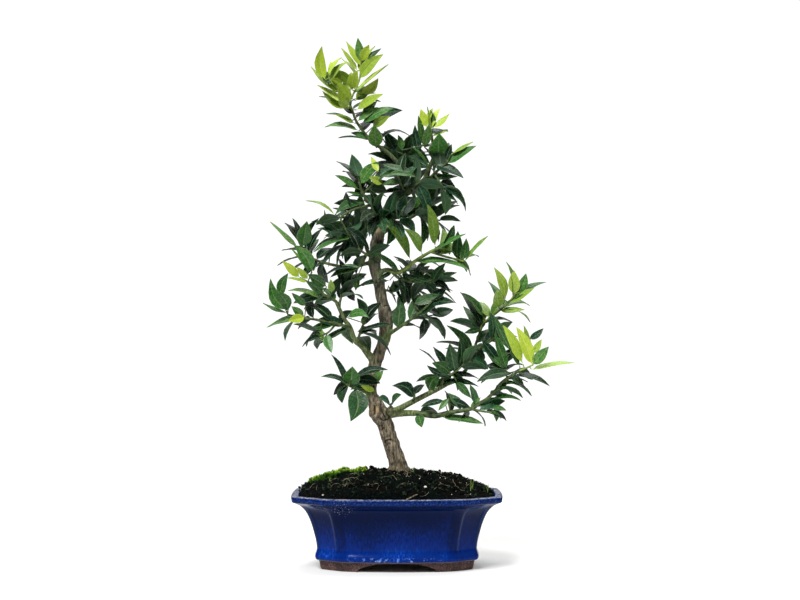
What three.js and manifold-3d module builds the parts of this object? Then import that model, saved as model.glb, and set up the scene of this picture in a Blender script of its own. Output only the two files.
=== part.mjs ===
// A myrtle-leaf orange grown as a bonsai, in its glazed pot. Millimetres, +Z up, the front of
// the tree faces -Y. The pot stands on four feet at z = 0 and the whole part is centred on its box.
import * as THREE from "three";
import Module from "manifold-3d";
import { mergeVertices } from "three/addons/utils/BufferGeometryUtils.js";

const wasm = await Module();
wasm.setup();

// Driving dimensions of the pot
const RIM_HALF_LENGTH = 100;
const RIM_HALF_DEPTH = 67;
const POT_HEIGHT = 71;
const LONG_SIDE_BOW = 7;
const SHORT_SIDE_BOW = 1.5;
const CORNER_CUT_X = 31.5;
const CORNER_CUT_Y = 25;
const CORNER_SHRINK_X = 0.41;
const CORNER_SHRINK_Y = 0.34;
const RIDGE_ROUNDING = 3;
const PANEL_HOLLOW = 0.8;
const RIDGE_SHARE = 0.8;
const RIDGE_LIFT = 0.4;
const BODY_UNDERSIDE = 8.5;
const FLOOR_TOP = 14.5;
const FOOT_INSET = 27.5;
const FOOT_TOP_INSET = 26;
const FOOT_THICKNESS = 11;
const FRONT_ARCH = { halfWidth: 38, crown: 21 };
const SIDE_ARCH = { halfWidth: 15, crown: 8 };
const ARCH_TOE = 0.6;
const ARCH_SHOULDER = 4.6;
const ARCH_STEP_SHARE = 0.13;
const DRAIN_RADIUS = 9;
const DRAIN_SPACING = 70;
const SCREEN_SIZE = 28;
const SCREEN_THICKNESS = 1.2;
const SCREEN_HOLES = 2;
const SCREEN_OPEN_SHARE = 0.7;

// How far the outside and the inside of the wall lie in from the rim, as [inset, height]
const OUTSIDE = [
  [25.7, 8.5], [22, 12.7], [23.7, 20.5], [21.2, 33.9], [18.1, 44.8], [13.8, 54.8], [8.6, 61],
  [0.6, 65.2], [0, 70], [1.2, POT_HEIGHT],
];
const INSIDE = [[7.4, POT_HEIGHT], [14.8, 59], [24.6, 44], [31.5, FLOOR_TOP]];

// Driving dimensions of the soil: a mound, highest left of the pot's middle
const MOUND_X = -12;
const MOUND_LEFT = 88;
const MOUND_RIGHT = 106;
const MOUND_DEPTH = 70;
const MOUND_EDGE_Z = 72.2;
const MOUND_RISE = 19.4;
const BROAD_LUMP = { height: 0.9, alongX: 6.1, alongY: 5.3 };
const SMALL_LUMP = { height: 0.7, alongX: 3.7, alongY: 4.9 };
const LUMPS_LOST_AT_EDGE = 0.6;
const SOIL_RING_INSETS = [9.4, 14, 21, 29, 38, 47, 56];

// Fits
const GAP = 0.35;
const SOIL_GAP = 0.45;
const TRUNK_HOLE_GAP = 0.5;
const LEAF_GAP = 0.4;

// Driving dimensions of the tree
const TRUNK_SIDES = 9;
const BRANCH_SIDES = 5;
const TWIG_SIDES = 3;
const ROOT_RIDGES = 5;
const ROOT_RIDGE_DEPTH = 0.16;
const ROOT_RIDGES_TOP = 104;
const ROOT_RIDGES_FADE = 16;
const BLADE_THICKNESS = 1.4;
const BLADE_ARCH = 0.11;
const ROOT_SINK = 0.25;
const SEED = 8805;

// A point of the tree is given where the front view shows it on the plane through the pot's
// middle, with its depth behind that plane. Things nearer to the eye look larger from there.
const EYE_X = 3;
const EYE_Z = 257;
const EYE_DISTANCE = 1800;

function seen([x, y, z]) {
  const spread = 1 + y / EYE_DISTANCE;
  return new THREE.Vector3(EYE_X + (x - EYE_X) * spread, y, EYE_Z + (z - EYE_Z) * spread);
}

function asSeen({ x, y, z }) {
  const spread = 1 + y / EYE_DISTANCE;
  return new THREE.Vector2(EYE_X + (x - EYE_X) / spread, EYE_Z + (z - EYE_Z) / spread);
}

// Solids
function solidFrom(geometry) {
  const bare = geometry.clone();
  bare.deleteAttribute("normal");
  bare.deleteAttribute("uv");
  const merged = mergeVertices(bare, 1e-4);
  return new wasm.Manifold(new wasm.Mesh({
    numProp: 3,
    vertProperties: new Float32Array(merged.attributes.position.array),
    triVerts: new Uint32Array(merged.index.array),
  }));
}

// Rings of equal count, each counter-clockwise seen from the side the loft runs to
function loft(rings) {
  const count = rings[0].length;
  const points = rings.flat();
  const faces = [];
  for (let ring = 0; ring + 1 < rings.length; ring += 1) {
    for (let k = 0; k < count; k += 1) {
      const a = ring * count + k;
      const b = ring * count + (k + 1) % count;
      faces.push(a, b, b + count, a, b + count, a + count);
    }
  }
  const middle = (ring) => ring.reduce((sum, p) => sum.add(p), new THREE.Vector3()).divideScalar(count);
  const last = (rings.length - 1) * count;
  points.push(middle(rings[0]), middle(rings.at(-1)));
  for (let k = 0; k < count; k += 1) {
    const next = (k + 1) % count;
    faces.push(points.length - 2, next, k);
    faces.push(points.length - 1, last + k, last + next);
  }
  const geometry = new THREE.BufferGeometry().setFromPoints(points);
  geometry.setIndex(faces);
  return geometry;
}

function namedMesh(name, solid, material) {
  const { vertProperties, triVerts } = solid.getMesh();
  const geometry = new THREE.BufferGeometry();
  geometry.setAttribute("position", new THREE.BufferAttribute(vertProperties, 3));
  geometry.setIndex(new THREE.BufferAttribute(triVerts, 1));
  const flat = geometry.toNonIndexed();
  flat.computeVertexNormals();
  const mesh = new THREE.Mesh(flat, material);
  mesh.name = name;
  return mesh;
}

function finish(color, roughness) {
  return new THREE.MeshStandardMaterial({ color, roughness, metalness: 0 });
}

const finishes = {
  pot: finish("#143096", 0.12),
  soil: finish("#1d2414", 0.95),
  screen: finish("#20201e", 0.6),
  bark: finish("#766a55", 0.85),
  mature: finish("#2a4f36", 0.38),
  green: finish("#4a7a35", 0.4),
  young: finish("#a9c747", 0.42),
};

// Pot: eight panels, the long ones bowed, the corners cut and slightly hollow
function potPlan(inset, z) {
  const halfLength = RIM_HALF_LENGTH - inset;
  const halfDepth = RIM_HALF_DEPTH - inset;
  const cutX = CORNER_CUT_X - CORNER_SHRINK_X * inset;
  const cutY = CORNER_CUT_Y - CORNER_SHRINK_Y * inset;
  const sideRidge = new THREE.Vector2(halfLength, halfDepth - cutY);
  const frontRidge = new THREE.Vector2(halfLength - cutX, halfDepth);
  const along = frontRidge.clone().sub(sideRidge).normalize();
  const inward = new THREE.Vector2(-along.y, along.x);
  const round = Math.min(RIDGE_ROUNDING, cutX / 4);
  const hollow = sideRidge.clone().lerp(frontRidge, 0.5).addScaledVector(inward, PANEL_HOLLOW);
  const bowed = (share) => new THREE.Vector2(
    frontRidge.x * (1 - share),
    halfDepth + LONG_SIDE_BOW * (1 - (1 - share) ** 2),
  );
  const quarter = [
    new THREE.Vector2(halfLength + SHORT_SIDE_BOW, 0),
    new THREE.Vector2(sideRidge.x, sideRidge.y - round),
    sideRidge.clone().addScaledVector(along, round * RIDGE_SHARE),
    hollow,
    frontRidge.clone().addScaledVector(along, -round * RIDGE_SHARE),
    new THREE.Vector2(frontRidge.x - round, halfDepth + RIDGE_LIFT),
    bowed(0.5),
  ];
  const mirrored = quarter.slice(1).reverse().map((p) => new THREE.Vector2(-p.x, p.y));
  const half = [...quarter, bowed(1), ...mirrored];
  const whole = [...half, ...half.map((p) => new THREE.Vector2(-p.x, -p.y))];
  return whole.map((p) => new THREE.Vector3(p.x, p.y, z));
}

function potRings(profile) {
  return profile.map(([inset, z]) => potPlan(inset, z));
}

// The arch between two feet: a flat-topped opening with an S-curve down to each foot
function footArch({ halfWidth, crown }) {
  const top = BODY_UNDERSIDE - ARCH_TOE;
  const step = halfWidth * ARCH_STEP_SHARE;
  const shape = new THREE.Shape();
  shape.moveTo(-halfWidth, -1);
  shape.lineTo(-halfWidth, ARCH_TOE);
  shape.quadraticCurveTo(-halfWidth + step, ARCH_SHOULDER, -halfWidth + 2 * step, ARCH_SHOULDER);
  shape.quadraticCurveTo(-crown - step, ARCH_SHOULDER, -crown, top);
  shape.lineTo(crown, top);
  shape.quadraticCurveTo(crown + step, ARCH_SHOULDER, halfWidth - 2 * step, ARCH_SHOULDER);
  shape.quadraticCurveTo(halfWidth - step, ARCH_SHOULDER, halfWidth, ARCH_TOE);
  shape.lineTo(halfWidth, -1);
  return shape;
}

function archCutter(arch, turn) {
  const length = 2 * RIM_HALF_LENGTH;
  const geometry = new THREE.ExtrudeGeometry(footArch(arch), {
    depth: length, bevelEnabled: false, curveSegments: 2,
  });
  geometry.translate(0, 0, -length / 2);
  geometry.rotateX(Math.PI / 2);
  geometry.rotateZ(turn);
  return solidFrom(geometry);
}

function drainCutter(x) {
  const geometry = new THREE.CylinderGeometry(DRAIN_RADIUS, DRAIN_RADIUS, 3 * FLOOR_TOP, 16);
  geometry.rotateX(Math.PI / 2);
  geometry.translate(x, 0, FLOOR_TOP);
  return solidFrom(geometry);
}

function pot() {
  const bowl = solidFrom(loft(potRings([...OUTSIDE, ...INSIDE])));
  const footInner = FOOT_INSET + FOOT_THICKNESS;
  const footRing = solidFrom(loft(potRings([[FOOT_INSET, 0], [FOOT_TOP_INSET, BODY_UNDERSIDE + 0.5]])))
    .subtract(solidFrom(loft(potRings([[footInner, -1], [footInner, BODY_UNDERSIDE]]))));
  const feet = footRing.subtract(archCutter(FRONT_ARCH, 0)).subtract(archCutter(SIDE_ARCH, Math.PI / 2));
  return bowl.add(feet)
    .subtract(drainCutter(-DRAIN_SPACING / 2))
    .subtract(drainCutter(DRAIN_SPACING / 2));
}

// A square of plastic mesh over each drain hole keeps the soil in
function screen(x) {
  const pitch = SCREEN_SIZE / SCREEN_HOLES;
  const opening = pitch * SCREEN_OPEN_SHARE;
  const plate = solidFrom(new THREE.BoxGeometry(SCREEN_SIZE, SCREEN_SIZE, SCREEN_THICKNESS));
  const cutters = [];
  for (let k = 0; k < SCREEN_HOLES ** 2; k += 1) {
    const hole = new THREE.BoxGeometry(opening, opening, 3 * SCREEN_THICKNESS);
    const column = k % SCREEN_HOLES - (SCREEN_HOLES - 1) / 2;
    const row = Math.floor(k / SCREEN_HOLES) - (SCREEN_HOLES - 1) / 2;
    hole.translate(column * pitch, row * pitch, 0);
    cutters.push(solidFrom(hole));
  }
  return plate.subtract(wasm.Manifold.union(cutters))
    .translate(x, 0, FLOOR_TOP + GAP + SCREEN_THICKNESS / 2);
}

// Soil: a mound that is high round the trunk and steeper at its left end, with a lumpy top
function moundHeight(x, y) {
  const fromMiddle = x - MOUND_X;
  const across = fromMiddle / (fromMiddle < 0 ? MOUND_LEFT : MOUND_RIGHT);
  const reach = Math.min(1, Math.hypot(across, y / MOUND_DEPTH));
  const broad = BROAD_LUMP.height
    * Math.sin(x / BROAD_LUMP.alongX + 0.7) * Math.sin(y / BROAD_LUMP.alongY + 1.9);
  const small = SMALL_LUMP.height * Math.sin(x / SMALL_LUMP.alongX - y / SMALL_LUMP.alongY);
  const lumps = (broad + small) * (1 - LUMPS_LOST_AT_EDGE * reach);
  return MOUND_EDGE_Z + MOUND_RISE * (1 - reach ** 3) + lumps;
}

function soilBody() {
  const wall = INSIDE.slice(1).reverse().map(([inset, z]) => [inset + SOIL_GAP, z]);
  wall[0][1] = FLOOR_TOP + GAP;
  const sides = potRings(wall);
  const top = SOIL_RING_INSETS.map((inset) => {
    const ring = potPlan(inset, 0);
    ring.forEach((p) => { p.z = moundHeight(p.x, p.y); });
    return ring;
  });
  return solidFrom(loft([...sides, ...top]));
}

// The soil is hollowed to take a drain screen
function screenPocket(x) {
  const side = SCREEN_SIZE + 2 * GAP;
  const geometry = new THREE.BoxGeometry(side, side, 2 * (SCREEN_THICKNESS + 2 * GAP));
  geometry.translate(x, 0, FLOOR_TOP + GAP);
  return solidFrom(geometry);
}

// Tree: every woody stretch is a bent, tapering rod through hand-set points [x, depth, z, radius].
// Its axis runs straight from one point's section to the next.
function spine(points) {
  const curve = new THREE.CatmullRomCurve3(points.map(seen), false, "catmullrom", 0.5);
  const last = points.length - 1;
  const radiusAt = (t) => {
    const k = Math.min(last - 1, Math.floor(t * last));
    return THREE.MathUtils.lerp(points[k][3], points[k + 1][3], t * last - k);
  };
  const axisAt = (t) => {
    const k = Math.min(last - 1, Math.floor(t * last));
    return curve.getPoint(k / last).lerp(curve.getPoint((k + 1) / last), t * last - k);
  };
  return { curve, radiusAt, axisAt, spans: last };
}

function rodRings({ curve, radiusAt, spans }, sides, { steps = 1, extra = 0, ridges = () => 0 } = {}) {
  const run = curve.getPoint(1).sub(curve.getPoint(0));
  const runsBack = Math.abs(run.y) > Math.hypot(run.x, run.z);
  const level = runsBack ? new THREE.Vector3(1, 0, 0) : new THREE.Vector3(0, 1, 0);
  const rings = [];
  for (let i = 0; i <= spans * steps; i += 1) {
    const t = i / (spans * steps);
    const middle = curve.getPoint(t);
    const tangent = curve.getTangent(t);
    const side = tangent.clone().cross(level).normalize();
    const other = tangent.clone().cross(side);
    rings.push(Array.from({ length: sides }, (_, k) => {
      const angle = (k / sides) * 2 * Math.PI;
      const radius = (radiusAt(t) + extra) * (1 + ridges(middle.z, angle));
      return middle.clone()
        .addScaledVector(side, radius * Math.cos(angle))
        .addScaledVector(other, radius * Math.sin(angle));
    }));
  }
  return rings;
}

function rod(points, sides, options) {
  return solidFrom(loft(rodRings(spine(points), sides, options)));
}

// The trunk, from below the soil to the foot of the crown's leader
const TRUNK = [
  [3, 1, 54, 9], [2.6, 1, 74, 12], [2.2, 1, 87, 12.2], [1.6, 1, 95.6, 9], [-1.4, 0.5, 106, 8.2],
  [-4.8, 0, 116, 8], [-9.5, -2, 129.5, 7.7], [-12.1, -3, 139, 8], [-16.7, -4, 147, 9.4],
  [-21.3, -3, 157.5, 7], [-24.9, -2, 167, 5.6], [-23.8, 1, 182, 5.8], [-20.8, 3, 196, 6.2],
  [-17.4, 4, 204, 5.9], [-14, 4, 213.7, 5.6], [-12, 4, 220, 6], [-10.3, 2, 234.5, 6.9],
  [-11.6, 0, 245.6, 6.6], [-15.8, -3, 262, 5.4], [-17.2, -4, 272.7, 5.6], [-20.3, -4, 284, 5.5],
  [-21.7, -4, 294, 5.9], [-18.8, -2, 316, 6.2], [-14.5, 1, 331, 5.5], [-10.5, 3, 341.4, 5],
  [-6.6, 4, 349, 4.6], [3.1, 5, 357, 4.2], [10.8, 6, 362, 3.9], [26.3, 6, 372.4, 3.1],
  [31, 5, 384, 2.4],
];

const BRANCHES = {
  leftMain: [
    [-20, 3, 197, 4.4], [-25, 1, 201, 3.9], [-33, -4, 211.7, 3.2], [-41, -8, 218.5, 2.8],
    [-45.2, -11, 230.6, 2.3], [-50, -13, 237, 2.2], [-55, -15, 247, 2], [-58.8, -17, 255.3, 1.8],
  ],
  rightLow: [[-11, 2, 220, 2.8], [-5.6, -1, 225.3, 2], [3.1, -5, 231, 1.7]],
  rightUpper: [[-19, -4, 281, 3], [-11, -7, 286, 2.3], [3.1, -11, 284.3, 2]],
  topStem: [
    [15, 6, 363, 3.2], [12, 5, 372, 2.7], [6, 3, 383, 2.4], [-6.6, -1, 397.5, 2.1], [-18.2, -3, 406.2, 1.8],
  ],
  upperLeft: [[-14.5, 1, 331, 3], [-19, 1, 340, 2.4], [-25, 0, 349, 2], [-30.5, -2, 355.5, 1.6]],
  leftTwig: [
    [-21.7, -4, 292, 3], [-29, -3, 292.5, 2.1], [-42, 0, 289, 1.8], [-55, 4, 289.5, 1.6],
    [-68, 8, 292.5, 1.4],
  ],
  lowLeft: [[-24, -2, 167, 3], [-30, -5, 168, 2.2], [-37, -9, 171, 1.7], [-44.9, -13, 173.6, 1.4]],
  rightA: [
    [-15, -2, 149, 4.4], [-2, 0, 150, 3.3], [14, 4, 158, 2.8], [30.2, 9, 166.3, 2.6],
    [39.9, 12, 171, 2.4], [48.6, 15, 175.9, 2.3], [57, 18, 179.5, 2.1], [67, 20, 189.5, 1.8],
  ],
  rightB: [[-14, -5, 144, 4.6], [-2, -9, 146.9, 3.7], [10, -12, 147.6, 3.2], [19, -14, 147.5, 3]],
  backLow: [[-10.5, 2, 238, 3.2], [-4, 14, 244, 2.4], [4, 28, 252, 2], [10, 40, 262, 1.6]],
  backMid: [[-21, -3, 290, 3.2], [-24, 10, 297, 2.4], [-29, 24, 306, 2], [-32, 38, 318, 1.6]],
  backRight: [[-17, -1, 320, 3], [-8, 12, 326, 2.4], [4, 26, 332, 2], [16, 38, 338, 1.6]],
  backTop: [[3, 5, 357, 2.8], [6, 16, 366, 2], [8, 27, 378, 1.5]],
  front: [[-8, 4, 346, 2.8], [-4, -8, 352, 2], [6, -18, 360, 1.6]],
};

// Old pruning knobs on the trunk, as [x, depth, z, radius]
const KNOBS = [
  [-8.5, -5, 147, 5.4], [-22.5, -8, 147.5, 5], [-16, -9, 141, 4.6], [-18, 3, 150, 6],
  [-6, -3, 243, 2.6],
];

// Sprays. Each has its foot on a branch (or on another spray's tip), its twigs, and the leaves
// that give the outline, as [foot x, foot z, tip x, tip z, width seen, lean]: lean runs from
// -1, the tip towards the eye, to 1, the tip away. More leaves fill each spray by a rule.
const SPRAYS = [
  {
    name: "spray_top", age: "mature", fill: 12, foot: [-6.6, -1, 397.5],
    twigs: [
      [[-18.2, -3, 406.2, 1.7], [-25.9, -5, 412, 1.5], [-38.5, -7, 428.5, 1.3],
       [-43.3, -8, 441, 1.1], [-46, -8, 448, 1]],
    ],
    leaves: [
      [-40, 439, -13.3, 457.5, 10, -0.4], [-38, 428, -22, 444, 9, 0.5], [-33, 426, 3.1, 441.1, 13, -0.2],
      [-26, 417, -6.5, 435.3, 8, 0.5], [-42, 434, -69.4, 437.7, 5, 0.5], [-39, 427, -71.4, 425, 9, -0.3],
      [-22, 409, -21, 427, 14.5, -0.7], [-20, 408, 13.8, 416.9, 6, 0.3], [-19, 407, 2, 424, 12, 0.6],
      [-20, 407, 2, 412, 8, -0.7],
    ],
  },
  {
    name: "spray_top_young", age: "young", fill: 12, onSpray: true, foot: [-43.3, -8, 441],
    twigs: [
      [[-46, -8, 448, 1], [-43, -7, 454.5, 0.95], [-36.6, -4, 469, 0.85], [-35, -2, 482, 0.75],
       [-34.6, -1, 494, 0.65]],
      [[-45, -7.5, 450.5, 0.9], [-57.9, -13, 462.3, 0.85], [-64.6, -17, 470.1, 0.75],
       [-67.5, -19, 477.8, 0.65]],
    ],
    leaves: [
      [-67.5, 477.8, -71.9, 503, 11.6, -0.6], [-66, 471, -83, 484.6, 5, 0.5],
      [-52, 456, -77.2, 467.5, 10.6, -0.5],
      [-53, 457, -77.2, 460, 10, 0.5], [-62, 467, -46.2, 487.5, 9, -0.4], [-66, 476, -53.3, 492.8, 5, 0.5],
      [-37, 467, -60.7, 478.8, 11.6, 0.5], [-36, 480, -54, 501.5, 5, 0.3],
      [-35, 484, -49.1, 506.9, 9, -0.3],
      [-34.6, 494, -38.8, 510.7, 8, -0.5], [-35, 487, -27.8, 504, 9, -0.6], [-34.6, 492, -21, 504, 5, 0.4],
      [-35, 486, -15.3, 500.6, 6, 0.6], [-36, 470.4, -13, 495.2, 11.6, -0.3], [-41, 458, -8.5, 487, 6, 0.2],
      [-41, 460, -37.5, 478.3, 10.6, -0.9], [-42, 455, -18.2, 471.5, 10.6, 0.4],
      [-49, 453, -57.4, 470, 13, -0.6],
    ],
  },
  {
    name: "spray_apex", age: "mature", fill: 7, foot: [26.3, 6, 372.4],
    twigs: [[[31, 5, 384, 2.2], [36, 4, 397.5, 1.7], [34.5, 2, 410, 1.4], [33, 1, 420, 1.1]]],
    leaves: [
      [35, 400, 18.6, 426.8, 8, 0.4], [35, 396, 10.9, 426.8, 5, -0.3], [34.5, 405, 30.7, 430, 11, -0.8],
      [34, 408, 21, 435.6, 6, 0.4], [34, 410, 44.7, 427, 5, 0.6], [33, 417, 50, 420.7, 6, 0.5],
      [33, 388, 13.8, 408, 5, -0.6], [33, 388, 19.2, 371.4, 6, -0.7], [33.5, 416, 13, 418, 9, -0.5],
      [36, 397, 58, 400, 9, 0.5], [35, 394, 9, 397, 10, 0.4],
    ],
  },
  {
    name: "spray_apex_young", age: "young", fill: 3, onSpray: true, foot: [34.5, 2, 410],
    twigs: [[[33, 1, 420, 1], [32.3, 0.5, 427, 0.9], [32, 0, 434, 0.7]]],
    leaves: [
      [32, 427, 24.2, 443, 8, -0.6], [32, 433, 29.9, 447, 5, 0.2], [32, 430, 34, 443, 6, 0.8],
      [32.5, 424, 55.4, 440.1, 6, 0.1], [32, 428, 42, 443, 7, 0.5], [32.5, 424, 15, 434, 7, 0.5],
    ],
  },
  {
    name: "spray_crown_right", age: "mature", fill: 7, foot: [26, 6, 372],
    twigs: [
      [[32, -1, 375, 1.8], [38, -6, 381, 1.5], [44, -9, 386, 1.2], [49, -11, 390, 0.9]],
      [[36, -4, 379, 1.3], [42, -10, 370, 1.1], [46, -14, 362, 0.8]],
    ],
    leaves: [
      [41, 386, 40.9, 418.8, 17, -0.3], [48, 389, 54, 411, 8, 0.6], [48, 389, 73.8, 412, 6, 0.4],
      [48.5, 389, 77, 404, 9, -0.3], [43, 384, 66, 378, 9, -0.4], [42, 372, 58, 364, 12, 0.5],
      [45, 366, 66, 356, 7, -0.3], [46, 363, 60, 350, 6, 0.4], [45, 363, 48, 341, 10, -0.2],
      [39, 376, 24, 366, 9, -0.6],
    ],
  },
  {
    name: "spray_crown_front", age: "mature", fill: 8, foot: [-4, -8, 352],
    twigs: [
      [[6, -18, 360, 1.5], [14, -25, 366, 1.2], [22, -30, 371, 0.9]],
      [[8, -20, 361.5, 1.2], [4, -27, 369, 1.1], [1, -32, 378, 0.8]],
    ],
    leaves: [
      [17, 367, 1, 335, 15, -0.2], [11, 364, -12, 361, 7, 0.2], [5, 368, -14, 380, 8, -0.2],
      [20, 371, 32, 339, 12, 0.2], [21, 372, 47, 368, 11, -0.3], [20, 372, 18, 398, 10, -0.3],
      [10, 362, -14, 346, 11, -0.5], [2, 376, -12, 394, 9, -0.3], [2, 377, 8, 400, 10, 0.3],
      [4, 369, -16, 370, 9, 0.4],
    ],
  },
  {
    name: "spray_crown_low", age: "mature", fill: 7, foot: [-16, 0, 325],
    twigs: [
      [[-13, -11, 330, 1.5], [-6, -19, 334, 1.2], [3, -26, 337, 0.9]],
      [[-11.5, -13, 331, 1.2], [-16, -21, 337, 1.1], [-20, -27, 343, 0.8]],
    ],
    leaves: [
      [2, 337, 18, 322, 10, -0.3], [2, 337, 20, 346, 10, -0.4], [-4, 335, -10, 309, 11, -0.4],
      [-19, 342, -36, 332, 10, -0.4], [-20, 343, -27, 365, 10, -0.3], [-17, 338, -24, 316, 9, 0.3],
      [-8, 333, 4, 352, 10, 0.4],
    ],
  },
  {
    name: "spray_upper_left", age: "mature", fill: 9, foot: [-25, 0, 349],
    twigs: [
      [[-30.5, -2, 355.5, 1.5], [-35, -4, 366, 1.2], [-37, -5, 377, 0.9]],
      [[-32.5, -3, 360, 1.1], [-26, -8, 366, 1], [-20, -12, 373, 0.8]],
    ],
    leaves: [
      [-37, 376, -58.8, 392.2, 6, 0.3], [-37, 377, -44, 399, 13, 0.4], [-36, 370, -16.5, 392, 10, 0.3],
      [-36, 368, -60.5, 378.2, 8, -0.4], [-34, 363, -52, 362.7, 6, -0.6], [-21, 373, -24, 396.6, 9, -0.5],
      [-20, 373, -4, 386, 9, -0.2], [-26, 366, -6, 362, 10, -0.4], [-24, 369, -42, 381, 9, -0.6],
      [-32, 358, -16, 346, 11, -0.3],
    ],
  },
  {
    name: "spray_left_hanging", age: "mature", fill: 8, foot: [-25, 0, 349],
    twigs: [
      [[-31, -6, 347.5, 1.4], [-43, -10, 344, 1.3], [-54, -13, 337, 1.1], [-51, -14, 328, 1],
       [-45, -15, 318, 0.8]],
    ],
    leaves: [
      [-34, 347, -62, 352, 10, -0.5], [-53, 338, -87.8, 354.9, 5, 0.2], [-54, 337, -80, 331, 9, -0.4],
      [-48, 324, -81.5, 303.7, 9, -0.3], [-46, 320, -76.2, 285.3, 9, 0.2], [-50, 327, -74, 314, 8, 0.6],
      [-49, 325, -34, 338, 8, -0.5], [-45, 318, -37, 293, 9, 0.3], [-45.5, 319, -26, 306, 9, -0.5],
      [-44, 343, -50, 362, 8, 0.5], [-50, 328, -64, 322, 8, -0.7],
    ],
  },
  {
    name: "spray_left_upper", age: "mature", fill: 6, foot: [-55, 4, 289.5],
    twigs: [[[-68, 8, 292.5, 1.4], [-81, 11, 297, 1.2], [-91, 13, 307, 1], [-95, 14, 313, 0.8]]],
    leaves: [
      [-94, 311.4, -122.6, 333.7, 5, -0.3], [-83, 297, -102, 311, 14, -0.7], [-94, 310, -109, 333, 6, 0.5],
      [-95, 313, -101, 337, 6, 0.8], [-92, 309, -86.8, 332, 12, -0.5], [-90, 306, -76, 338, 6, 0.3],
      [-86, 302, -69, 329, 7, 0.5], [-79, 295, -60, 308, 9, 0.4], [-78, 295, -92, 279, 9, 0.6],
      [-72, 293, -66, 272, 9, 0.5],
    ],
  },
  {
    name: "spray_left_mid", age: "mature", fill: 7, foot: [-55, -15, 247],
    twigs: [[[-58.8, -17, 255.3, 1.7], [-67, -20, 260, 1.4], [-77, -23, 267, 1.2], [-86, -25, 275, 0.9]]],
    leaves: [
      [-86, 275, -111, 294, 9, -0.3], [-85, 274, -96, 291, 9, 0.6], [-73, 264, -105, 268, 7, -0.7],
      [-76, 267, -86, 288, 13, -0.5], [-80, 270, -104.5, 284, 9, 0.5], [-72, 262, -101, 254, 11, 0.1],
      [-64, 258, -52, 281, 8, -0.5], [-70, 262, -68, 286, 10, 0.5], [-66, 260, -84, 247, 9, -0.6],
    ],
  },
  {
    name: "spray_left_low", age: "mature", fill: 8, foot: [-45.2, -11, 230.6],
    twigs: [
      [[-51, -18, 232, 1.6], [-63, -23, 235, 1.4], [-78, -27, 238, 1.2], [-93, -29, 240, 1.1],
       [-106, -30, 243, 0.9]],
      [[-59, -21.5, 234, 1.1], [-66, -27, 226, 1], [-74, -32, 222, 0.8]],
    ],
    leaves: [
      [-106, 243, -122, 281.9, 18, -0.2], [-106, 243, -131.3, 256, 5, 0.3],
      [-103, 242.5, -104, 268, 13, 0.5],
      [-91, 240, -103.3, 262, 12, -0.5], [-94, 240.5, -107, 233, 10, -0.9],
      [-103, 242, -127.5, 230, 8, -0.2],
      [-60, 235, -82, 247, 10, -0.7], [-70, 237, -92, 226, 9, 0.5], [-66, 226, -63.2, 207.9, 12, 0.6],
      [-70, 224, -80, 208, 6, -0.6], [-74, 222, -93, 212, 5, 0.2], [-82, 239, -97, 229, 6, 0.7],
      [-56, 233.5, -44, 247, 9, -0.5],
    ],
  },
  {
    name: "spray_left_top", age: "mature", fill: 6, foot: [-56, -15.5, 249],
    twigs: [[[-55, -9, 256, 1.3], [-52, -6, 266, 1.1], [-49, -4, 275, 0.8]]],
    leaves: [
      [-51, 270, -28.8, 283, 9, 0.3], [-51, 271, -36, 270, 6, 0.7], [-50, 272, -61, 289, 10, -0.3],
      [-49, 275, -56, 298, 10, 0.5], [-49, 275, -40, 300, 10, 0.1], [-53, 265, -40, 257, 9, 0.5],
    ],
  },
  {
    name: "spray_mid_left", age: "mature", fill: 6, foot: [-38, -6.5, 216],
    twigs: [[[-37, -14, 221, 1.4], [-33.5, -18, 231, 1.2], [-30, -20, 241, 0.9]]],
    leaves: [
      [-33, 233, -5, 236, 8, -0.1], [-33, 231, -15, 247, 8, 0.4], [-30, 241, -39, 259, 10, -0.4],
      [-30, 241, -15, 255, 9, -0.5], [-35, 226, -4.6, 203, 5, -0.3], [-31, 238, -46, 246, 9, -0.6],
    ],
  },
  {
    name: "spray_front_mid", age: "mature", fill: 6, foot: [-21, -3, 296],
    twigs: [[[-25, -13, 299, 1.6], [-31, -21, 302, 1.3], [-37, -27, 307, 0.9]]],
    leaves: [
      [-33, 303, -56, 300, 9, -0.3], [-36, 306, -47, 327, 9, 0.3], [-37, 307, -30, 330, 9, -0.3],
      [-30, 301, -41, 282, 9, -0.5], [-29, 301, -7, 311, 10, -0.4], [-29, 301, -17, 322, 8, 0.3],
      [-35, 305, -60, 318, 10, 0.4], [-26, 299, -20, 279, 9, -0.5],
    ],
  },
  {
    name: "spray_right_upper", age: "green", fill: 9, foot: [-11, -7, 286],
    twigs: [
      [[3.1, -11, 284.3, 1.9], [16.7, -16, 294, 1.7], [34.1, -20, 304.6, 1.4], [46, -23, 309, 1]],
      [[33, -19.5, 303.5, 1.2], [47, -19, 299, 1.1], [65, -18, 294.5, 0.8]],
    ],
    leaves: [
      [12.8, 291.5, -8.9, 329.8, 11, -0.2], [25.4, 299, 6, 327.9, 11, 0.3],
      [38, 306, 29.8, 349.1, 12, -0.2],
      [20, 296, 72.2, 285.8, 11, -0.4], [40, 307, 67.4, 321.7, 6, -0.4], [45, 309, 56.3, 330, 8, 0.5],
      [65, 294.5, 88.3, 320.1, 5, -0.2], [60, 296, 66, 318, 14, 0.5], [65, 294.5, 80, 299, 6, 0.5],
      [56, 297, 72, 280.4, 6, 0.5], [44, 308.5, 46, 329, 10, -0.6],
    ],
  },
  {
    name: "spray_right_mid", age: "mature", fill: 8, foot: [-6, -8.5, 285.5],
    twigs: [[[2, -5, 278, 1.4], [12, -6, 275, 1.2], [24, -8, 275, 1.1], [35, -9, 277, 0.8]]],
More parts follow.
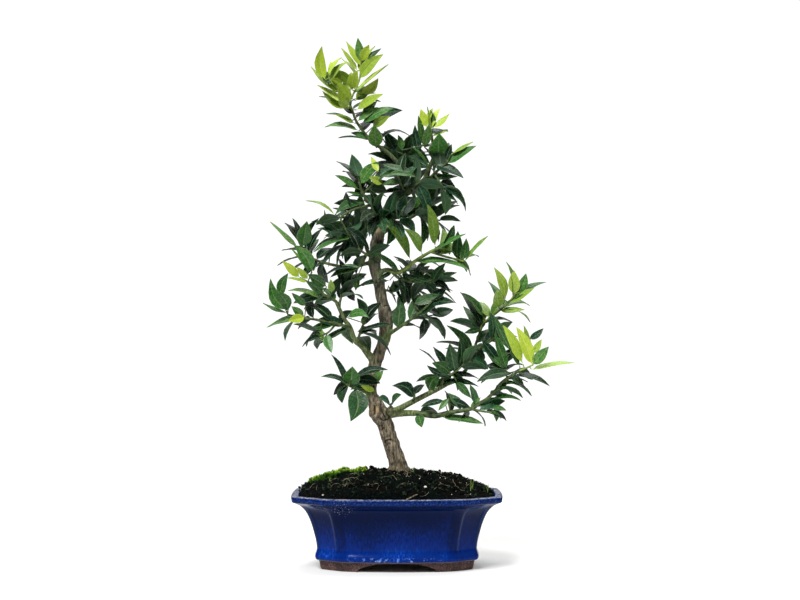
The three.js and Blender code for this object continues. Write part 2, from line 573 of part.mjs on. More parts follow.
    leaves: [
      [3, 277.5, 5, 254, 6, -0.2], [8, 276, 12, 252, 6, 0.5], [28, 275, 14, 257, 12, -0.6],
      [33, 276, 53, 264, 8, 0.3], [35, 277, 60, 276, 8, 0.1], [30, 276, 42, 259, 10, 0.5],
      [20, 275, 22, 293, 9, 0.5], [10, 275.5, -7, 264, 9, -0.3],
    ],
  },
  {
    name: "spray_right_low", age: "mature", fill: 7, foot: [-5.6, -1, 225.3],
    twigs: [
      [[3.1, -5, 231, 1.6], [18.6, -10, 241.7, 1.3], [26, -13, 248, 1.1], [34, -15, 256, 0.8]],
      [[15, -9, 239, 1.1], [24, -4, 240, 1], [34, 0, 242, 0.8]],
    ],
    leaves: [
      [34, 242, 55, 248, 10, 0.3], [31, 241, 45, 226, 9, -0.3], [26, 240, 22, 218, 9, 0.4],
      [17, 240.5, 43.8, 264, 13, -0.5], [6, 233, 6, 259, 13, -0.3], [31, 253, 57, 255, 9, -0.3],
      [34, 256, 51, 273, 9, 0.3], [27, 249, 46, 241, 8, 0.4], [24, 246, 13, 264, 9, 0.6],
    ],
  },
  {
    name: "spray_trunk_right", age: "mature", fill: 0, foot: [-16.5, -3.5, 267],
    twigs: [[[-8.5, -5, 266, 1.1], [-5, -6.5, 263.5, 0.9], [-2, -8, 261, 0.8]]],
    leaves: [[-3, 261.5, 2, 246, 6, -0.4], [-5, 263.5, 2, 273, 6, -0.2]],
  },
  {
    name: "spray_low_left", age: "mature", fill: 2, foot: [-37, -9, 171],
    twigs: [
      [[-44.9, -13, 173.6, 1.3], [-48, -15, 175, 1.1], [-51, -17, 177, 0.9]],
      [[-46.5, -14, 174, 1.1], [-44.5, -15, 179, 1], [-42, -15, 184, 0.8]],
    ],
    leaves: [
      [-46, 173, -44.3, 140.1, 17, -0.2], [-49, 176, -54, 155.6, 9, -0.5],
      [-50, 177, -73.8, 183.1, 6, -0.3],
      [-50, 177, -63.6, 205, 6, 0.3], [-45, 179, -44.3, 197, 16, -0.7], [-43, 183, -7.5, 190, 7, 0.1],
      [-44, 180, -15, 177, 12, 0.3], [-47, 174, -27, 166, 8, -0.5], [-49, 175.5, -62, 165, 8, 0.4],
    ],
  },
  {
    name: "spray_burr", age: "mature", fill: 0, foot: [-9, -7, 146.5],
    twigs: [[[-6.5, -14, 152, 1.1], [-6, -16, 154.5, 1], [-5.5, -18, 157, 0.8]]],
    leaves: [[-6, 155, -18, 163, 6, -0.3], [-5.5, 157, 4, 166, 6, -0.4]],
  },
  {
    name: "spray_lower_inner", age: "mature", fill: 0, foot: [14, 4, 158],
    twigs: [[[16.5, 0.5, 161.5, 1.2], [17, -1, 164.5, 1], [17, -2, 168, 0.8]]],
    leaves: [[17, 167, -5.6, 173.6, 10, -0.2], [17, 168, 27, 176, 7, 0.4]],
  },
  {
    name: "spray_lower_a", age: "mature", fill: 6, foot: [42, 13, 172],
    twigs: [
      [[43.5, 8, 177, 1.4], [46.5, 6, 186, 1.1], [49, 5, 194, 0.8]],
      [[45, 7, 182, 1.1], [55, 1, 186, 1], [65, -4, 195, 0.8]],
    ],
    leaves: [
      [64, 194, 80, 214, 10, -0.3], [62, 192, 87, 190, 9, -0.4], [57, 188, 60, 168, 10, -0.5],
      [65, 195, 61, 223, 9, 0.3], [52, 185, 38, 166, 9, -0.5],
      [44, 179, 18.1, 178, 7, -0.2], [47, 188, 29.3, 197.2, 13, -0.5], [49, 192, 50.6, 214, 14, -0.4],
      [49, 194, 35.1, 213, 8, 0.4], [48, 190, 66, 203, 9, 0.4], [46, 184, 62, 183, 9, -0.4],
    ],
  },
  {
    name: "spray_lower_a_mid", age: "mature", fill: 8, foot: [57, 18, 179.5],
    twigs: [
      [[67, 20, 189.5, 1.7], [74.7, 20, 209.8, 1.4], [79, 19, 222, 1.2], [83.5, 18, 234, 1]],
      [[74, 20, 208, 1.1], [85, 14, 213, 1], [95, 9, 221, 0.8]],
    ],
    leaves: [
      [95, 221, 113, 236, 10, -0.3], [93, 219, 120, 216, 9, -0.4], [87, 214, 95, 195, 10, -0.5],
      [94, 220, 90, 246, 10, 0.3], [82, 212, 76, 192, 9, -0.5],
      [74, 207, 37, 217, 5, -0.2], [75, 211, 47.7, 233, 9, 0.4], [80, 226, 51.1, 237, 8, -0.3],
      [79, 224, 64.1, 252, 9, 0.4], [83, 233, 61.2, 265.4, 10, -0.2], [76, 214, 96, 229, 9, 0.4],
      [73, 206, 93, 207, 10, -0.5], [71, 200, 89, 190, 10, 0.4], [69, 196, 52, 204, 9, -0.6],
      [78, 219, 98, 217, 9, -0.4],
    ],
  },
  {
    name: "spray_lower_a_tip", age: "green", fill: 4, onSpray: true, foot: [79, 19, 222],
    twigs: [[[83.5, 18, 234, 1], [97.9, 15, 245.6, 0.95], [108.6, 12, 255.3, 0.9], [114.4, 10, 263, 0.7]]],
    leaves: [
      [106, 253, 94.1, 289.2, 12, -0.2], [103, 250.5, 88, 276, 8, 0.5], [99, 247, 98, 268, 10, -0.8],
      [114.4, 263, 112.5, 287, 11, -0.7], [113, 261, 106, 295, 5, 0.3], [114.4, 263, 124.1, 287, 8, 0.5],
      [110, 257, 145.4, 275, 7, -0.2], [99, 246.5, 124, 246, 6, -0.6], [112, 260, 136, 262, 8, 0.4],
      [95, 243, 108, 230, 9, -0.4], [90, 239, 78, 256, 9, 0.7],
    ],
  },
  {
    name: "spray_lower_b", age: "mature", fill: 8, foot: [10, -12, 147.6],
    twigs: [
      [[19, -14, 147.5, 2.8], [37, -18, 145, 2.7], [51.5, -21, 148.2, 2.2],
       [71.8, -24, 151.7, 1.9], [79, -25, 156.6, 1.7], [87.3, -26, 161.4, 1.6],
       [95.1, -27, 169.2, 1.5]],
      [[71, -24, 151.5, 1.2], [82, -28, 149.5, 1.1], [92, -31, 148, 0.8]],
    ],
    leaves: [
      [46, 146, 84.4, 138.2, 8, -0.2], [23, 146, 24, 133, 8, -0.7], [44, 147, 73, 160, 9, 0.4],
      [47, 148, 22.5, 157, 9, -0.4], [60, 150, 49, 168, 8, 0.4], [90, 148.5, 107, 140, 6, 0.2],
      [92, 148, 105, 154, 6, -0.5], [84, 149, 92, 135, 5, 0.4], [77, 156, 71, 176, 8, 0.3],
      [88, 162, 110, 160, 8, -0.4], [66, 151, 60, 138, 7, 0.6],
    ],
  },
  {
    name: "spray_lower_b_tip", age: "mature", fill: 9, onSpray: true, foot: [87.3, -26, 161.4],
    twigs: [
      [[95.1, -27, 169.2, 1.4], [99.9, -28, 175.9, 1.3], [108.6, -29, 182.7, 1.2], [119, -30, 188.5, 1]],
      [[107, -29, 182, 1], [102, -24, 191, 0.9], [99, -20, 200, 0.7]],
    ],
    leaves: [
      [114, 186, 149.2, 173, 9, -0.2], [112, 185, 80.5, 180, 11, -0.6], [98, 173, 124, 162, 6, -0.3],
      [109, 183, 124, 172, 7, 0.5], [99, 200, 82.5, 227, 9, 0.1], [99, 200, 104, 227, 11, 0.3],
      [100, 196, 119, 212, 10, 0.2], [100, 197, 81, 207, 9, -0.4], [103, 189, 86, 194, 11, -0.5],
      [116, 187, 132, 180, 8, 0.7],
    ],
  },
  {
    name: "spray_lower_young", age: "young", fill: 3, onSpray: true, foot: [108.6, -29, 182.7],
    twigs: [[[119, -30, 188.5, 1], [126, -31, 191.5, 0.9], [132, -32, 194.5, 0.8]]],
    leaves: [
      [124, 191, 102.8, 232.1, 8, -0.1], [129, 193, 115.4, 233, 13, -0.3], [131, 194, 121.8, 234, 7, 0.3],
      [132, 194.5, 171.5, 197.2, 6, -0.1], [132, 194.5, 146.4, 213, 8, -0.5],
      [131, 194, 153.1, 218, 6, 0.3],
      [132, 194.5, 157, 204, 6, 0.5], [130, 193.5, 141, 229, 8, 0.4],
    ],
  },
  {
    name: "spray_back_low", age: "mature", fill: 14, foot: [4, 28, 252],
    twigs: [
      [[10, 40, 262, 1.5], [14, 50, 272, 1.2], [16, 58, 284, 0.9]],
      [[11.5, 44, 266, 1], [24, 50, 268, 0.9], [34, 54, 272, 0.7]],
    ],
    leaves: [],
  },
  {
    name: "spray_back_mid", age: "mature", fill: 14, foot: [-29, 24, 306],
    twigs: [
      [[-32, 38, 318, 1.5], [-36, 50, 328, 1.2], [-38, 60, 338, 0.9]],
      [[-34, 43, 322, 1], [-48, 46, 318, 0.9], [-60, 48, 316, 0.7]],
    ],
    leaves: [],
  },
  {
    name: "spray_back_right", age: "mature", fill: 14, foot: [4, 26, 332],
    twigs: [
      [[16, 38, 338, 1.5], [24, 48, 344, 1.2], [30, 56, 352, 0.9]],
      [[18.5, 41, 340, 1], [30, 38, 336, 0.9], [42, 36, 334, 0.7]],
    ],
    leaves: [],
  },
  {
    name: "spray_back_top", age: "mature", fill: 12, foot: [6, 16, 366],
    twigs: [
      [[8, 27, 378, 1.4], [8, 36, 388, 1.1], [6, 42, 399, 0.8]],
      [[8, 31, 382, 1], [0, 36, 386, 0.9], [-8, 40, 392, 0.7]],
    ],
    leaves: [],
  },
];

// Nominal leaf length and blade width by age
const LEAF_SIZE = {
  mature: { length: 38, width: 13.5 },
  green: { length: 37, width: 12.5 },
  young: { length: 32, width: 11 },
};
const NODE_STEPS = 30;
const NODE_SPACING = 1.7;
const OWN_CLEAR_FROM = 0.13;
const FILL_SPREAD = 1.15;
const LEAF_DROOP = 0.12;
const GOLDEN_TURN = 2.399963;
const OUTLINE_TRIES = [0, 3, -3, 6, -6, 10, -10, 14, -14, 19, -19, 24, -24]
  .flatMap((shift) => [{ shift, reach: 1 }, { shift, reach: 0.84 }]);
const FILL_TRIES = [0, 0.35, -0.35, 0.7, -0.7, 1.1, -1.1, 1.6, -1.6, 2.2, -2.2, 2.8]
  .flatMap((turn) => [{ turn, rise: 0 }, { turn, rise: 0.8 }, { turn, rise: -0.5 }]);

// A fixed run of draws, the same on every build
function drawer(seed) {
  let state = seed >>> 0;
  return () => {
    state = (Math.imul(state, 1664525) + 1013904223) >>> 0;
    return state / 2 ** 32;
  };
}

// Leaf nodes are spaced along the twigs: the free place nearest to what is asked for is taken
function takeNode(twigs, distanceTo) {
  let best = null;
  twigs.forEach((twig, index) => {
    for (let step = 1; step < NODE_STEPS; step += 1) {
      const t = step / NODE_STEPS;
      const point = twig.axisAt(t);
      const free = twigs.taken.every((other) => other.distanceTo(point) > NODE_SPACING);
      const distance = distanceTo(point, index, t);
      if (free && (!best || distance < best.distance)) {
        best = { distance, index, t, point };
      }
    }
  });
  if (best) {
    twigs.taken.push(best.point);
  }
  return best;
}

// The blade's face turns towards the shoot's tip and the sky, across the leaf's own line
function faceDirection(along, shoot) {
  const wanted = shoot.clone().multiplyScalar(0.8).add(new THREE.Vector3(0, 0, 1));
  const face = wanted.addScaledVector(along, -wanted.dot(along));
  return face.length() < 0.05 ? new THREE.Vector3(0, -1, 0) : face.normalize();
}

// A leaf seen narrow is turned about its own line until it shows that width to the front
function faceForWidth(along, shoot, seenWidth, width) {
  const toEye = new THREE.Vector3(0, -1, 0);
  const open = toEye.addScaledVector(along, -toEye.dot(along));
  if (open.length() < 0.2) {
    return faceDirection(along, shoot);
  }
  open.normalize();
  const edge = along.clone().cross(open);
  const turn = Math.acos(Math.min(1, seenWidth / width));
  const wanted = faceDirection(along, shoot);
  const choices = [turn, -turn].map((angle) => open.clone()
    .multiplyScalar(Math.cos(angle)).addScaledVector(edge, Math.sin(angle)));
  return choices[0].dot(wanted) >= choices[1].dot(wanted) ? choices[0] : choices[1];
}

// Leaves given by hand keep their outline from the front: to find room, their depth may shift
// and their tip may draw back a little
function outlineLeaf(spray, twigs, rooted, [footX, footZ, tipX, tipZ, seenWidth, lean], draws, change) {
  const size = LEAF_SIZE[spray.age];
  const length = size.length * (0.9 + 0.2 * draws[0]);
  const flat = Math.hypot(tipX - footX, tipZ - footZ);
  const depth = Math.sqrt(Math.max(0, length ** 2 - flat ** 2)) * lean;
  const far = seen([tipX, rooted.point.y + depth + change.shift, tipZ]);
  const tip = rooted.point.clone().lerp(far, change.reach);
  const along = tip.clone().sub(rooted.point).normalize();
  const shoot = twigs[rooted.index].curve.getTangent(rooted.t);
  const width = Math.max(size.width * (0.92 + 0.16 * draws[1]), seenWidth);
  return {
    root: rooted.point,
    tip,
    face: faceForWidth(along, shoot, seenWidth, width),
    width,
    arch: BLADE_ARCH * (0.5 + draws[2]),
  };
}

// Leaves by rule stand round the twig by the golden angle where a spray has no leaves given by
// hand. Elsewhere they lean to the eye or away from it, so that they thicken the spray.
function fillLeaf(spray, twigs, rooted, order, draws, change) {
  const size = LEAF_SIZE[spray.age];
  const { t, point: root } = rooted;
  const shoot = twigs[rooted.index].curve.getTangent(t);
  const back = new THREE.Vector3(0, 1, 0);
  const side = back.clone().cross(shoot).normalize();
  const away = shoot.clone().cross(side).normalize();
  const free = spray.leaves.length === 0;
  const swing = (draws[1] - 0.5) * 2 * FILL_SPREAD + change.turn;
  const about = free ? order * GOLDEN_TURN + change.turn : (order % 2 ? Math.PI : 0) + swing;
  const out = away.clone().multiplyScalar(-Math.cos(about)).addScaledVector(side, Math.sin(about));
  const rise = 0.35 + 0.5 * t + 0.25 * draws[2] + change.rise;
  const along = out.addScaledVector(shoot, rise).normalize();
  along.z -= LEAF_DROOP;
  along.normalize();
  const length = size.length * (0.78 + 0.26 * draws[0]);
  return {
    root,
    tip: root.clone().addScaledVector(along, length),
    face: faceDirection(along, shoot),
    width: size.width * (0.8 + 0.25 * draws[3]),
    arch: BLADE_ARCH * (0.6 + draws[3]),
  };
}

// A blade is a thin arched wedge: two edges level with each other and the midrib keel below them,
// at stations [share of length, share of half width] between its foot and its tip
const STATIONS = [[0.3, 0.94], [0.66, 0.8]];

function bladeSection(leaf, s, halfWidth) {
  const reach = leaf.tip.clone().sub(leaf.root);
  const bend = leaf.root.clone().add(leaf.tip).multiplyScalar(0.5)
    .addScaledVector(leaf.face, 2 * leaf.arch * reach.length());
  const middle = leaf.root.clone().multiplyScalar((1 - s) ** 2)
    .addScaledVector(bend, 2 * s * (1 - s)).addScaledVector(leaf.tip, s ** 2);
  const tangent = bend.clone().sub(leaf.root).multiplyScalar(1 - s)
    .addScaledVector(leaf.tip.clone().sub(bend), s).normalize();
  const across = reach.cross(leaf.face).normalize();
  const normal = across.clone().cross(tangent).normalize();
  const edge = (side) => middle.clone().addScaledVector(across, side * halfWidth)
    .addScaledVector(normal, BLADE_THICKNESS / 2);
  return [edge(-1), edge(1), middle.clone().addScaledVector(normal, -BLADE_THICKNESS / 2)];
}

// The foot is a point sunk in the twig. A blade that starts further out has a flat end instead.
function blade(leaf, from = 0) {
  const stations = from > 0 ? [[from, from / STATIONS[0][0]], ...STATIONS] : STATIONS;
  const sections = stations.map(([s, share]) => bladeSection(leaf, s, share * leaf.width / 2));
  const points = [...sections.flat(), leaf.tip.clone()];
  const tip = points.length - 1;
  const faces = [];
  for (let side = 0; side < 3; side += 1) {
    const next = (side + 1) % 3;
    for (let near = 0; near + 3 < tip; near += 3) {
      faces.push(near + side, near + next, near + 3 + next, near + side, near + 3 + next, near + 3 + side);
    }
    faces.push(tip - 3 + side, tip - 3 + next, tip);
  }
  if (from > 0) {
    faces.push(0, 2, 1);
  } else {
    points.push(leaf.root.clone().add(leaf.root.clone().sub(leaf.tip).setLength(ROOT_SINK)));
    faces.push(tip + 1, 1, 0, tip + 1, 2, 1, tip + 1, 0, 2);
  }
  const geometry = new THREE.BufferGeometry().setFromPoints(points);
  geometry.setIndex(faces);
  return solidFrom(geometry);
}

function boxesMeet(a, b, margin) {
  return [0, 1, 2].every((k) => a.min[k] - margin < b.max[k] && b.min[k] - margin < a.max[k]);
}

// What stands already, so that a new leaf can keep clear of it
const placed = [];

function place(owner, solid) {
  placed.push({ owner, solid, box: solid.boundingBox() });
}

function hasRoom(owner, whole, outer) {
  const box = whole.boundingBox();
  return placed.every((other) => {
    if (!boxesMeet(box, other.box, LEAF_GAP)) {
      return true;
    }
    const probe = other.owner === owner ? outer : whole;
    return probe.minGap(other.solid, 1) > (other.owner === owner ? 0.05 : LEAF_GAP);
  });
}

function growLeaf(owner, shapes) {
  for (const leaf of shapes) {
    const whole = blade(leaf);
    if (hasRoom(owner, whole, blade(leaf, OWN_CLEAR_FROM))) {
      return { leaf, whole };
    }
  }
  return null;
}

// A twig starts just clear of the wood it stands on and runs on in the same line
function twigSpine(spray, points, first) {
  if (!first) {
    return spine(points);
  }
  const foot = new THREE.Vector3(...spray.foot);
  const start = new THREE.Vector3(...points[0]);
  const line = start.clone().sub(foot).normalize();
  const clear = start.clone().addScaledVector(line, GAP);
  const next = start.clone().addScaledVector(line, 2.5);
  return spine([
    [clear.x, clear.y, clear.z, points[0][3]],
    [next.x, next.y, next.z, points[0][3]],
    ...points.slice(1),
  ]);
}

function stub(spray) {
  const start = spray.twigs[0][0];
  return rod([[...spray.foot, start[3] * 1.3], start], BRANCH_SIDES);
}

// Low on the trunk its section is ridged where the roots run out of it
function rootRidges(z, angle) {
  const low = THREE.MathUtils.clamp((ROOT_RIDGES_TOP - z) / ROOT_RIDGES_FADE, 0, 1);
  return ROOT_RIDGE_DEPTH * low * Math.cos(ROOT_RIDGES * angle + 0.9);
}

// A spray that starts at a branch's end or on another spray needs no stub of its own
function needsStub(spray) {
  const start = spray.twigs[0][0].slice(0, 3).join();
  const branchEnds = [TRUNK, ...Object.values(BRANCHES)].map((points) => points.at(-1).slice(0, 3).join());
  return !spray.onSpray && !branchEnds.includes(start);
}

function tree() {
  const wood = [rod(TRUNK, TRUNK_SIDES, { ridges: rootRidges })];
  Object.values(BRANCHES).forEach((points) => wood.push(rod(points, BRANCH_SIDES)));
  KNOBS.forEach(([x, y, z, radius]) => {
    const knob = new THREE.SphereGeometry(radius, 6, 4);
    knob.translate(...seen([x, y, z]).toArray());
    wood.push(solidFrom(knob));
  });
  SPRAYS.filter(needsStub).forEach((spray) => wood.push(stub(spray)));
  return wasm.Manifold.union(wood);
}

// The hole follows the trunk's foot, a little wider and deeper than the wood
function trunkHole() {
  const [x, y, z, radius] = TRUNK[0];
  const deeper = [[x, y, z - 1, radius], ...TRUNK.slice(1, 5)];
  return rod(deeper, TRUNK_SIDES, { ridges: rootRidges, extra: TRUNK_HOLE_GAP });
}

// What stands before the leaves are grown
const potSolid = pot();
const drainX = DRAIN_SPACING / 2;
const soilSolid = soilBody().subtract(trunkHole())
  .subtract(screenPocket(-drainX)).subtract(screenPocket(drainX));
const wood = tree();
place("soil", soilSolid);
place("trunk", wood);
const grown = SPRAYS.map((spray) => {
  const twigs = spray.twigs.map((points, k) => twigSpine(spray, points, k === 0));
  twigs.taken = [];
  const body = wasm.Manifold.union(twigs.map((twig) => solidFrom(loft(rodRings(twig, TWIG_SIDES)))));
  place(spray.name, body);
  return { spray, twigs, body, blades: [] };
});

// Seen from the front, a leaf by rule keeps its tip among those of the leaves given by hand
function withinOutline(spray, leaf) {
  const tips = spray.leaves.map((entry) => new THREE.Vector2(entry[2], entry[3]));
  const outline = new THREE.Box2().setFromPoints(tips);
  return outline.isEmpty() || outline.containsPoint(asSeen(leaf.tip));
}

// Every leaf uses four draws, whether or not it finds room
const draw = drawer(SEED);

function addLeaf({ spray, blades }, shapes) {
  const found = growLeaf(spray.name, shapes);
  if (found) {
    blades.push(found.whole);
    place(spray.name, blade(found.leaf, OWN_CLEAR_FROM));
  }
}

function growOutline(plant) {
  const { spray, twigs } = plant;
  spray.leaves.forEach((entry) => {
    const draws = [draw(), draw(), draw(), draw()];
    const rooted = takeNode(twigs, (point) => seen([entry[0], point.y, entry[1]]).distanceTo(point));
    if (rooted) {
      const shapeOf = (change) => outlineLeaf(spray, twigs, rooted, entry, draws, change);
      addLeaf(plant, OUTLINE_TRIES.map(shapeOf));
    }
  });
}

function growFill(plant) {
  const { spray, twigs } = plant;
  for (let order = 0; order < spray.fill; order += 1) {
    const draws = [draw(), draw(), draw(), draw()];
    const share = (Math.floor(order / twigs.length) + 0.5) / Math.ceil(spray.fill / twigs.length);
    const rooted = takeNode(twigs, (point, index, t) => (
      Math.abs(t - share) + (index === order % twigs.length ? 0 : 1)
    ));
    if (rooted) {
      const shapes = FILL_TRIES.map((change) => fillLeaf(spray, twigs, rooted, order, draws, change));
      addLeaf(plant, shapes.filter((leaf) => withinOutline(spray, leaf)));
    }
  }
}

grown.forEach(growOutline);
grown.forEach(growFill);

const group = new THREE.Group();
group.add(namedMesh("pot", potSolid, finishes.pot));
group.add(namedMesh("soil", soilSolid, finishes.soil));
group.add(namedMesh("drain_screen_1", screen(-drainX), finishes.screen));
group.add(namedMesh("drain_screen_2", screen(drainX), finishes.screen));
group.add(namedMesh("trunk", wood, finishes.bark));
grown.forEach(({ spray, body, blades }) => {
  group.add(namedMesh(spray.name, wasm.Manifold.union([body, ...blades]), finishes[spray.age]));
});

// The whole part stands on z = 0 with its box centred on the origin
const box = new THREE.Box3().setFromObject(group);
const centre = box.getCenter(new THREE.Vector3());
group.position.set(-centre.x, -centre.y, -box.min.z);
group.updateMatrixWorld(true);

export default group;
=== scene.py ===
# A myrtle-leaf orange grown as a bonsai, in its cobalt glazed pot.
# Places on the plant are in millimetres from the middle of the pot's base, as in the part's source.
import math
import random
from functools import partial

import bpy
import numpy as np
from mathutils import Matrix, Vector, kdtree, noise


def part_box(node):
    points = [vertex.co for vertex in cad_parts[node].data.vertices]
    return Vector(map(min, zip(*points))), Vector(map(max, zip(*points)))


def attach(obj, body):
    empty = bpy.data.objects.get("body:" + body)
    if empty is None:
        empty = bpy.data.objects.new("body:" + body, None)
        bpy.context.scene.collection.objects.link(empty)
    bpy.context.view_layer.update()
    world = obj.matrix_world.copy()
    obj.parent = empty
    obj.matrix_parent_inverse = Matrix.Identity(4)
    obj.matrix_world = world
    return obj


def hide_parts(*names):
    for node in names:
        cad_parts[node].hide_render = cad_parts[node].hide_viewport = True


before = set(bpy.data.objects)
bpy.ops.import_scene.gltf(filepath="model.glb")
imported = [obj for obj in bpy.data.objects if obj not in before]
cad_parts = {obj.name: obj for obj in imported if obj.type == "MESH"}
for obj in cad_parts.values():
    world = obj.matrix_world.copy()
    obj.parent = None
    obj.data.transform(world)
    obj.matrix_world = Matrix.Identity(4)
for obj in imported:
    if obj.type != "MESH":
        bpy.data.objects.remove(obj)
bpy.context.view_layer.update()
pot_low, pot_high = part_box("pot")
POT_MIDDLE = Vector(((pot_low.x + pot_high.x) / 2, (pot_low.y + pot_high.y) / 2, pot_low.z))
MM = 0.001

# The front view's eye, from which the photo's places were read
EYE = Vector((3, -1800, 257))
LENS_MM = 83.7
SENSOR_MM = 36

# Pot, as in the part's source
RIM_HALF_LENGTH = 100
RIM_HALF_DEPTH = 67
LONG_SIDE_BOW = 7
SHORT_SIDE_BOW = 1.5
CORNER_CUT_X = 31.5
CORNER_CUT_Y = 25
CORNER_SHRINK_X = 0.41
CORNER_SHRINK_Y = 0.34
RIDGE_ROUNDING = 3
BODY_UNDERSIDE = 8.5
FLOOR_TOP = 14.5
FOOT_INSET = 27.5
FOOT_THICKNESS = 11
DRAIN_RADIUS = 9
DRAIN_SPACING = 70

# The wall's outside and inside, from the rim, as (inset, height)
OUTSIDE = [
    (26.4, 8.5), (24.6, 8.8), (23, 9.8), (22.1, 11.4), (22, 13), (22.5, 15.2), (23.3, 17.6), (23.7, 20.5),
    (22.8, 27), (21.2, 33.9), (18.1, 44.8), (13.8, 54.8), (8.6, 61), (4.3, 63.6), (1.3, 65),
]
LIP = [
    (0.5, 65.6), (0.1, 66.6), (0, 68), (0, 69.2), (0.25, 70.1), (0.9, 70.75), (1.9, 71),
    (3.6, 71), (5.4, 71), (6.6, 70.7), (7.3, 69.8),
]
INSIDE = [(9, 67.5), (14.8, 59), (24.6, 44), (31.5, FLOOR_TOP)]

# Soil, as in the part's source
MOUND_X = -12
MOUND_LEFT = 88
MOUND_RIGHT = 106
MOUND_DEPTH = 70
MOUND_EDGE_Z = 72.2
MOUND_RISE = 19.4

# Wood, each stretch through points (x, depth, z, radius), as in the part's source
TRUNK = [
    (3, 1, 54, 9), (2.6, 1, 74, 12), (2.2, 1, 87, 12.2), (1.6, 1, 95.6, 9), (-1.4, 0.5, 106, 8.2),
    (-4.8, 0, 116, 8), (-9.5, -2, 129.5, 7.7), (-12.1, -3, 139, 8), (-16.7, -4, 147, 9.4),
    (-21.3, -3, 157.5, 7), (-24.9, -2, 167, 5.6), (-23.8, 1, 182, 5.8), (-20.8, 3, 196, 6.2),
    (-17.4, 4, 204, 5.9), (-14, 4, 213.7, 5.6), (-12, 4, 220, 6), (-10.3, 2, 234.5, 6.9),
    (-11.6, 0, 245.6, 6.6), (-15.8, -3, 262, 5.4), (-17.2, -4, 272.7, 5.6), (-20.3, -4, 284, 5.5),
    (-21.7, -4, 294, 5.9), (-18.8, -2, 316, 6.2), (-14.5, 1, 331, 5.5), (-10.5, 3, 341.4, 5),
    (-6.6, 4, 349, 4.6), (3.1, 5, 357, 4.2), (10.8, 6, 362, 3.9), (26.3, 6, 372.4, 3.1), (31, 5, 384, 2.4),
]
BRANCHES = {
    "left_main": [
        (-20, 3, 197, 4.4), (-25, 1, 201, 3.9), (-33, -4, 211.7, 3.2), (-41, -8, 218.5, 2.8),
        (-45.2, -11, 230.6, 2.3), (-50, -13, 237, 2.2), (-55, -15, 247, 2), (-58.8, -17, 255.3, 1.8),
    ],
    "right_low": [(-11, 2, 220, 2.8), (-5.6, -1, 225.3, 2), (3.1, -5, 231, 1.7)],
    "right_upper": [(-19, -4, 281, 3), (-11, -7, 286, 2.3), (3.1, -11, 284.3, 2)],
    "top_stem": [
        (15, 6, 363, 3.2), (12, 5, 372, 2.7), (6, 3, 383, 2.4), (-6.6, -1, 397.5, 2.1),
        (-18.2, -3, 406.2, 1.8),
    ],
    "upper_left": [(-14.5, 1, 331, 3), (-19, 1, 340, 2.4), (-25, 0, 349, 2), (-30.5, -2, 355.5, 1.6)],
    "left_twig": [
        (-21.7, -4, 292, 3), (-29, -3, 292.5, 2.1), (-42, 0, 289, 1.8), (-55, 4, 289.5, 1.6),
        (-68, 8, 292.5, 1.4),
    ],
    "low_left": [(-24, -2, 167, 3), (-30, -5, 168, 2.2), (-37, -9, 171, 1.7), (-44.9, -13, 173.6, 1.4)],
    "right_a": [
        (-15, -2, 149, 4.4), (-2, 0, 150, 3.3), (14, 4, 158, 2.8), (30.2, 9, 166.3, 2.6),
        (39.9, 12, 171, 2.4), (48.6, 15, 175.9, 2.3), (57, 18, 179.5, 2.1), (67, 20, 189.5, 1.8),
    ],
    "right_b": [(-14, -5, 144, 4.6), (-2, -9, 146.9, 3.7), (10, -12, 147.6, 3.2), (19, -14, 147.5, 3)],
    "back_low": [(-10.5, 2, 238, 3.2), (-4, 14, 244, 2.4), (4, 28, 252, 2), (10, 40, 262, 1.6)],
    "back_mid": [(-21, -3, 290, 3.2), (-24, 10, 297, 2.4), (-29, 24, 306, 2), (-32, 38, 318, 1.6)],
    "back_right": [(-17, -1, 320, 3), (-8, 12, 326, 2.4), (4, 26, 332, 2), (16, 38, 338, 1.6)],
    "back_top": [(3, 5, 357, 2.8), (6, 16, 366, 2), (8, 27, 378, 1.5)],
    "front": [(-8, 4, 346, 2.8), (-4, -8, 352, 2), (6, -18, 360, 1.6)],
}
KNOBS = [
    (-8.5, -5, 147, 5.4), (-22.5, -8, 147.5, 5), (-16, -9, 141, 4.6), (-18, 3, 150, 6), (-6, -3, 243, 2.6),
]
BURR = [(-11, -7, 148, 3.4), (-6.5, -12, 151.5, 2.8), (-4.6, -14, 153.2, 2.6)]

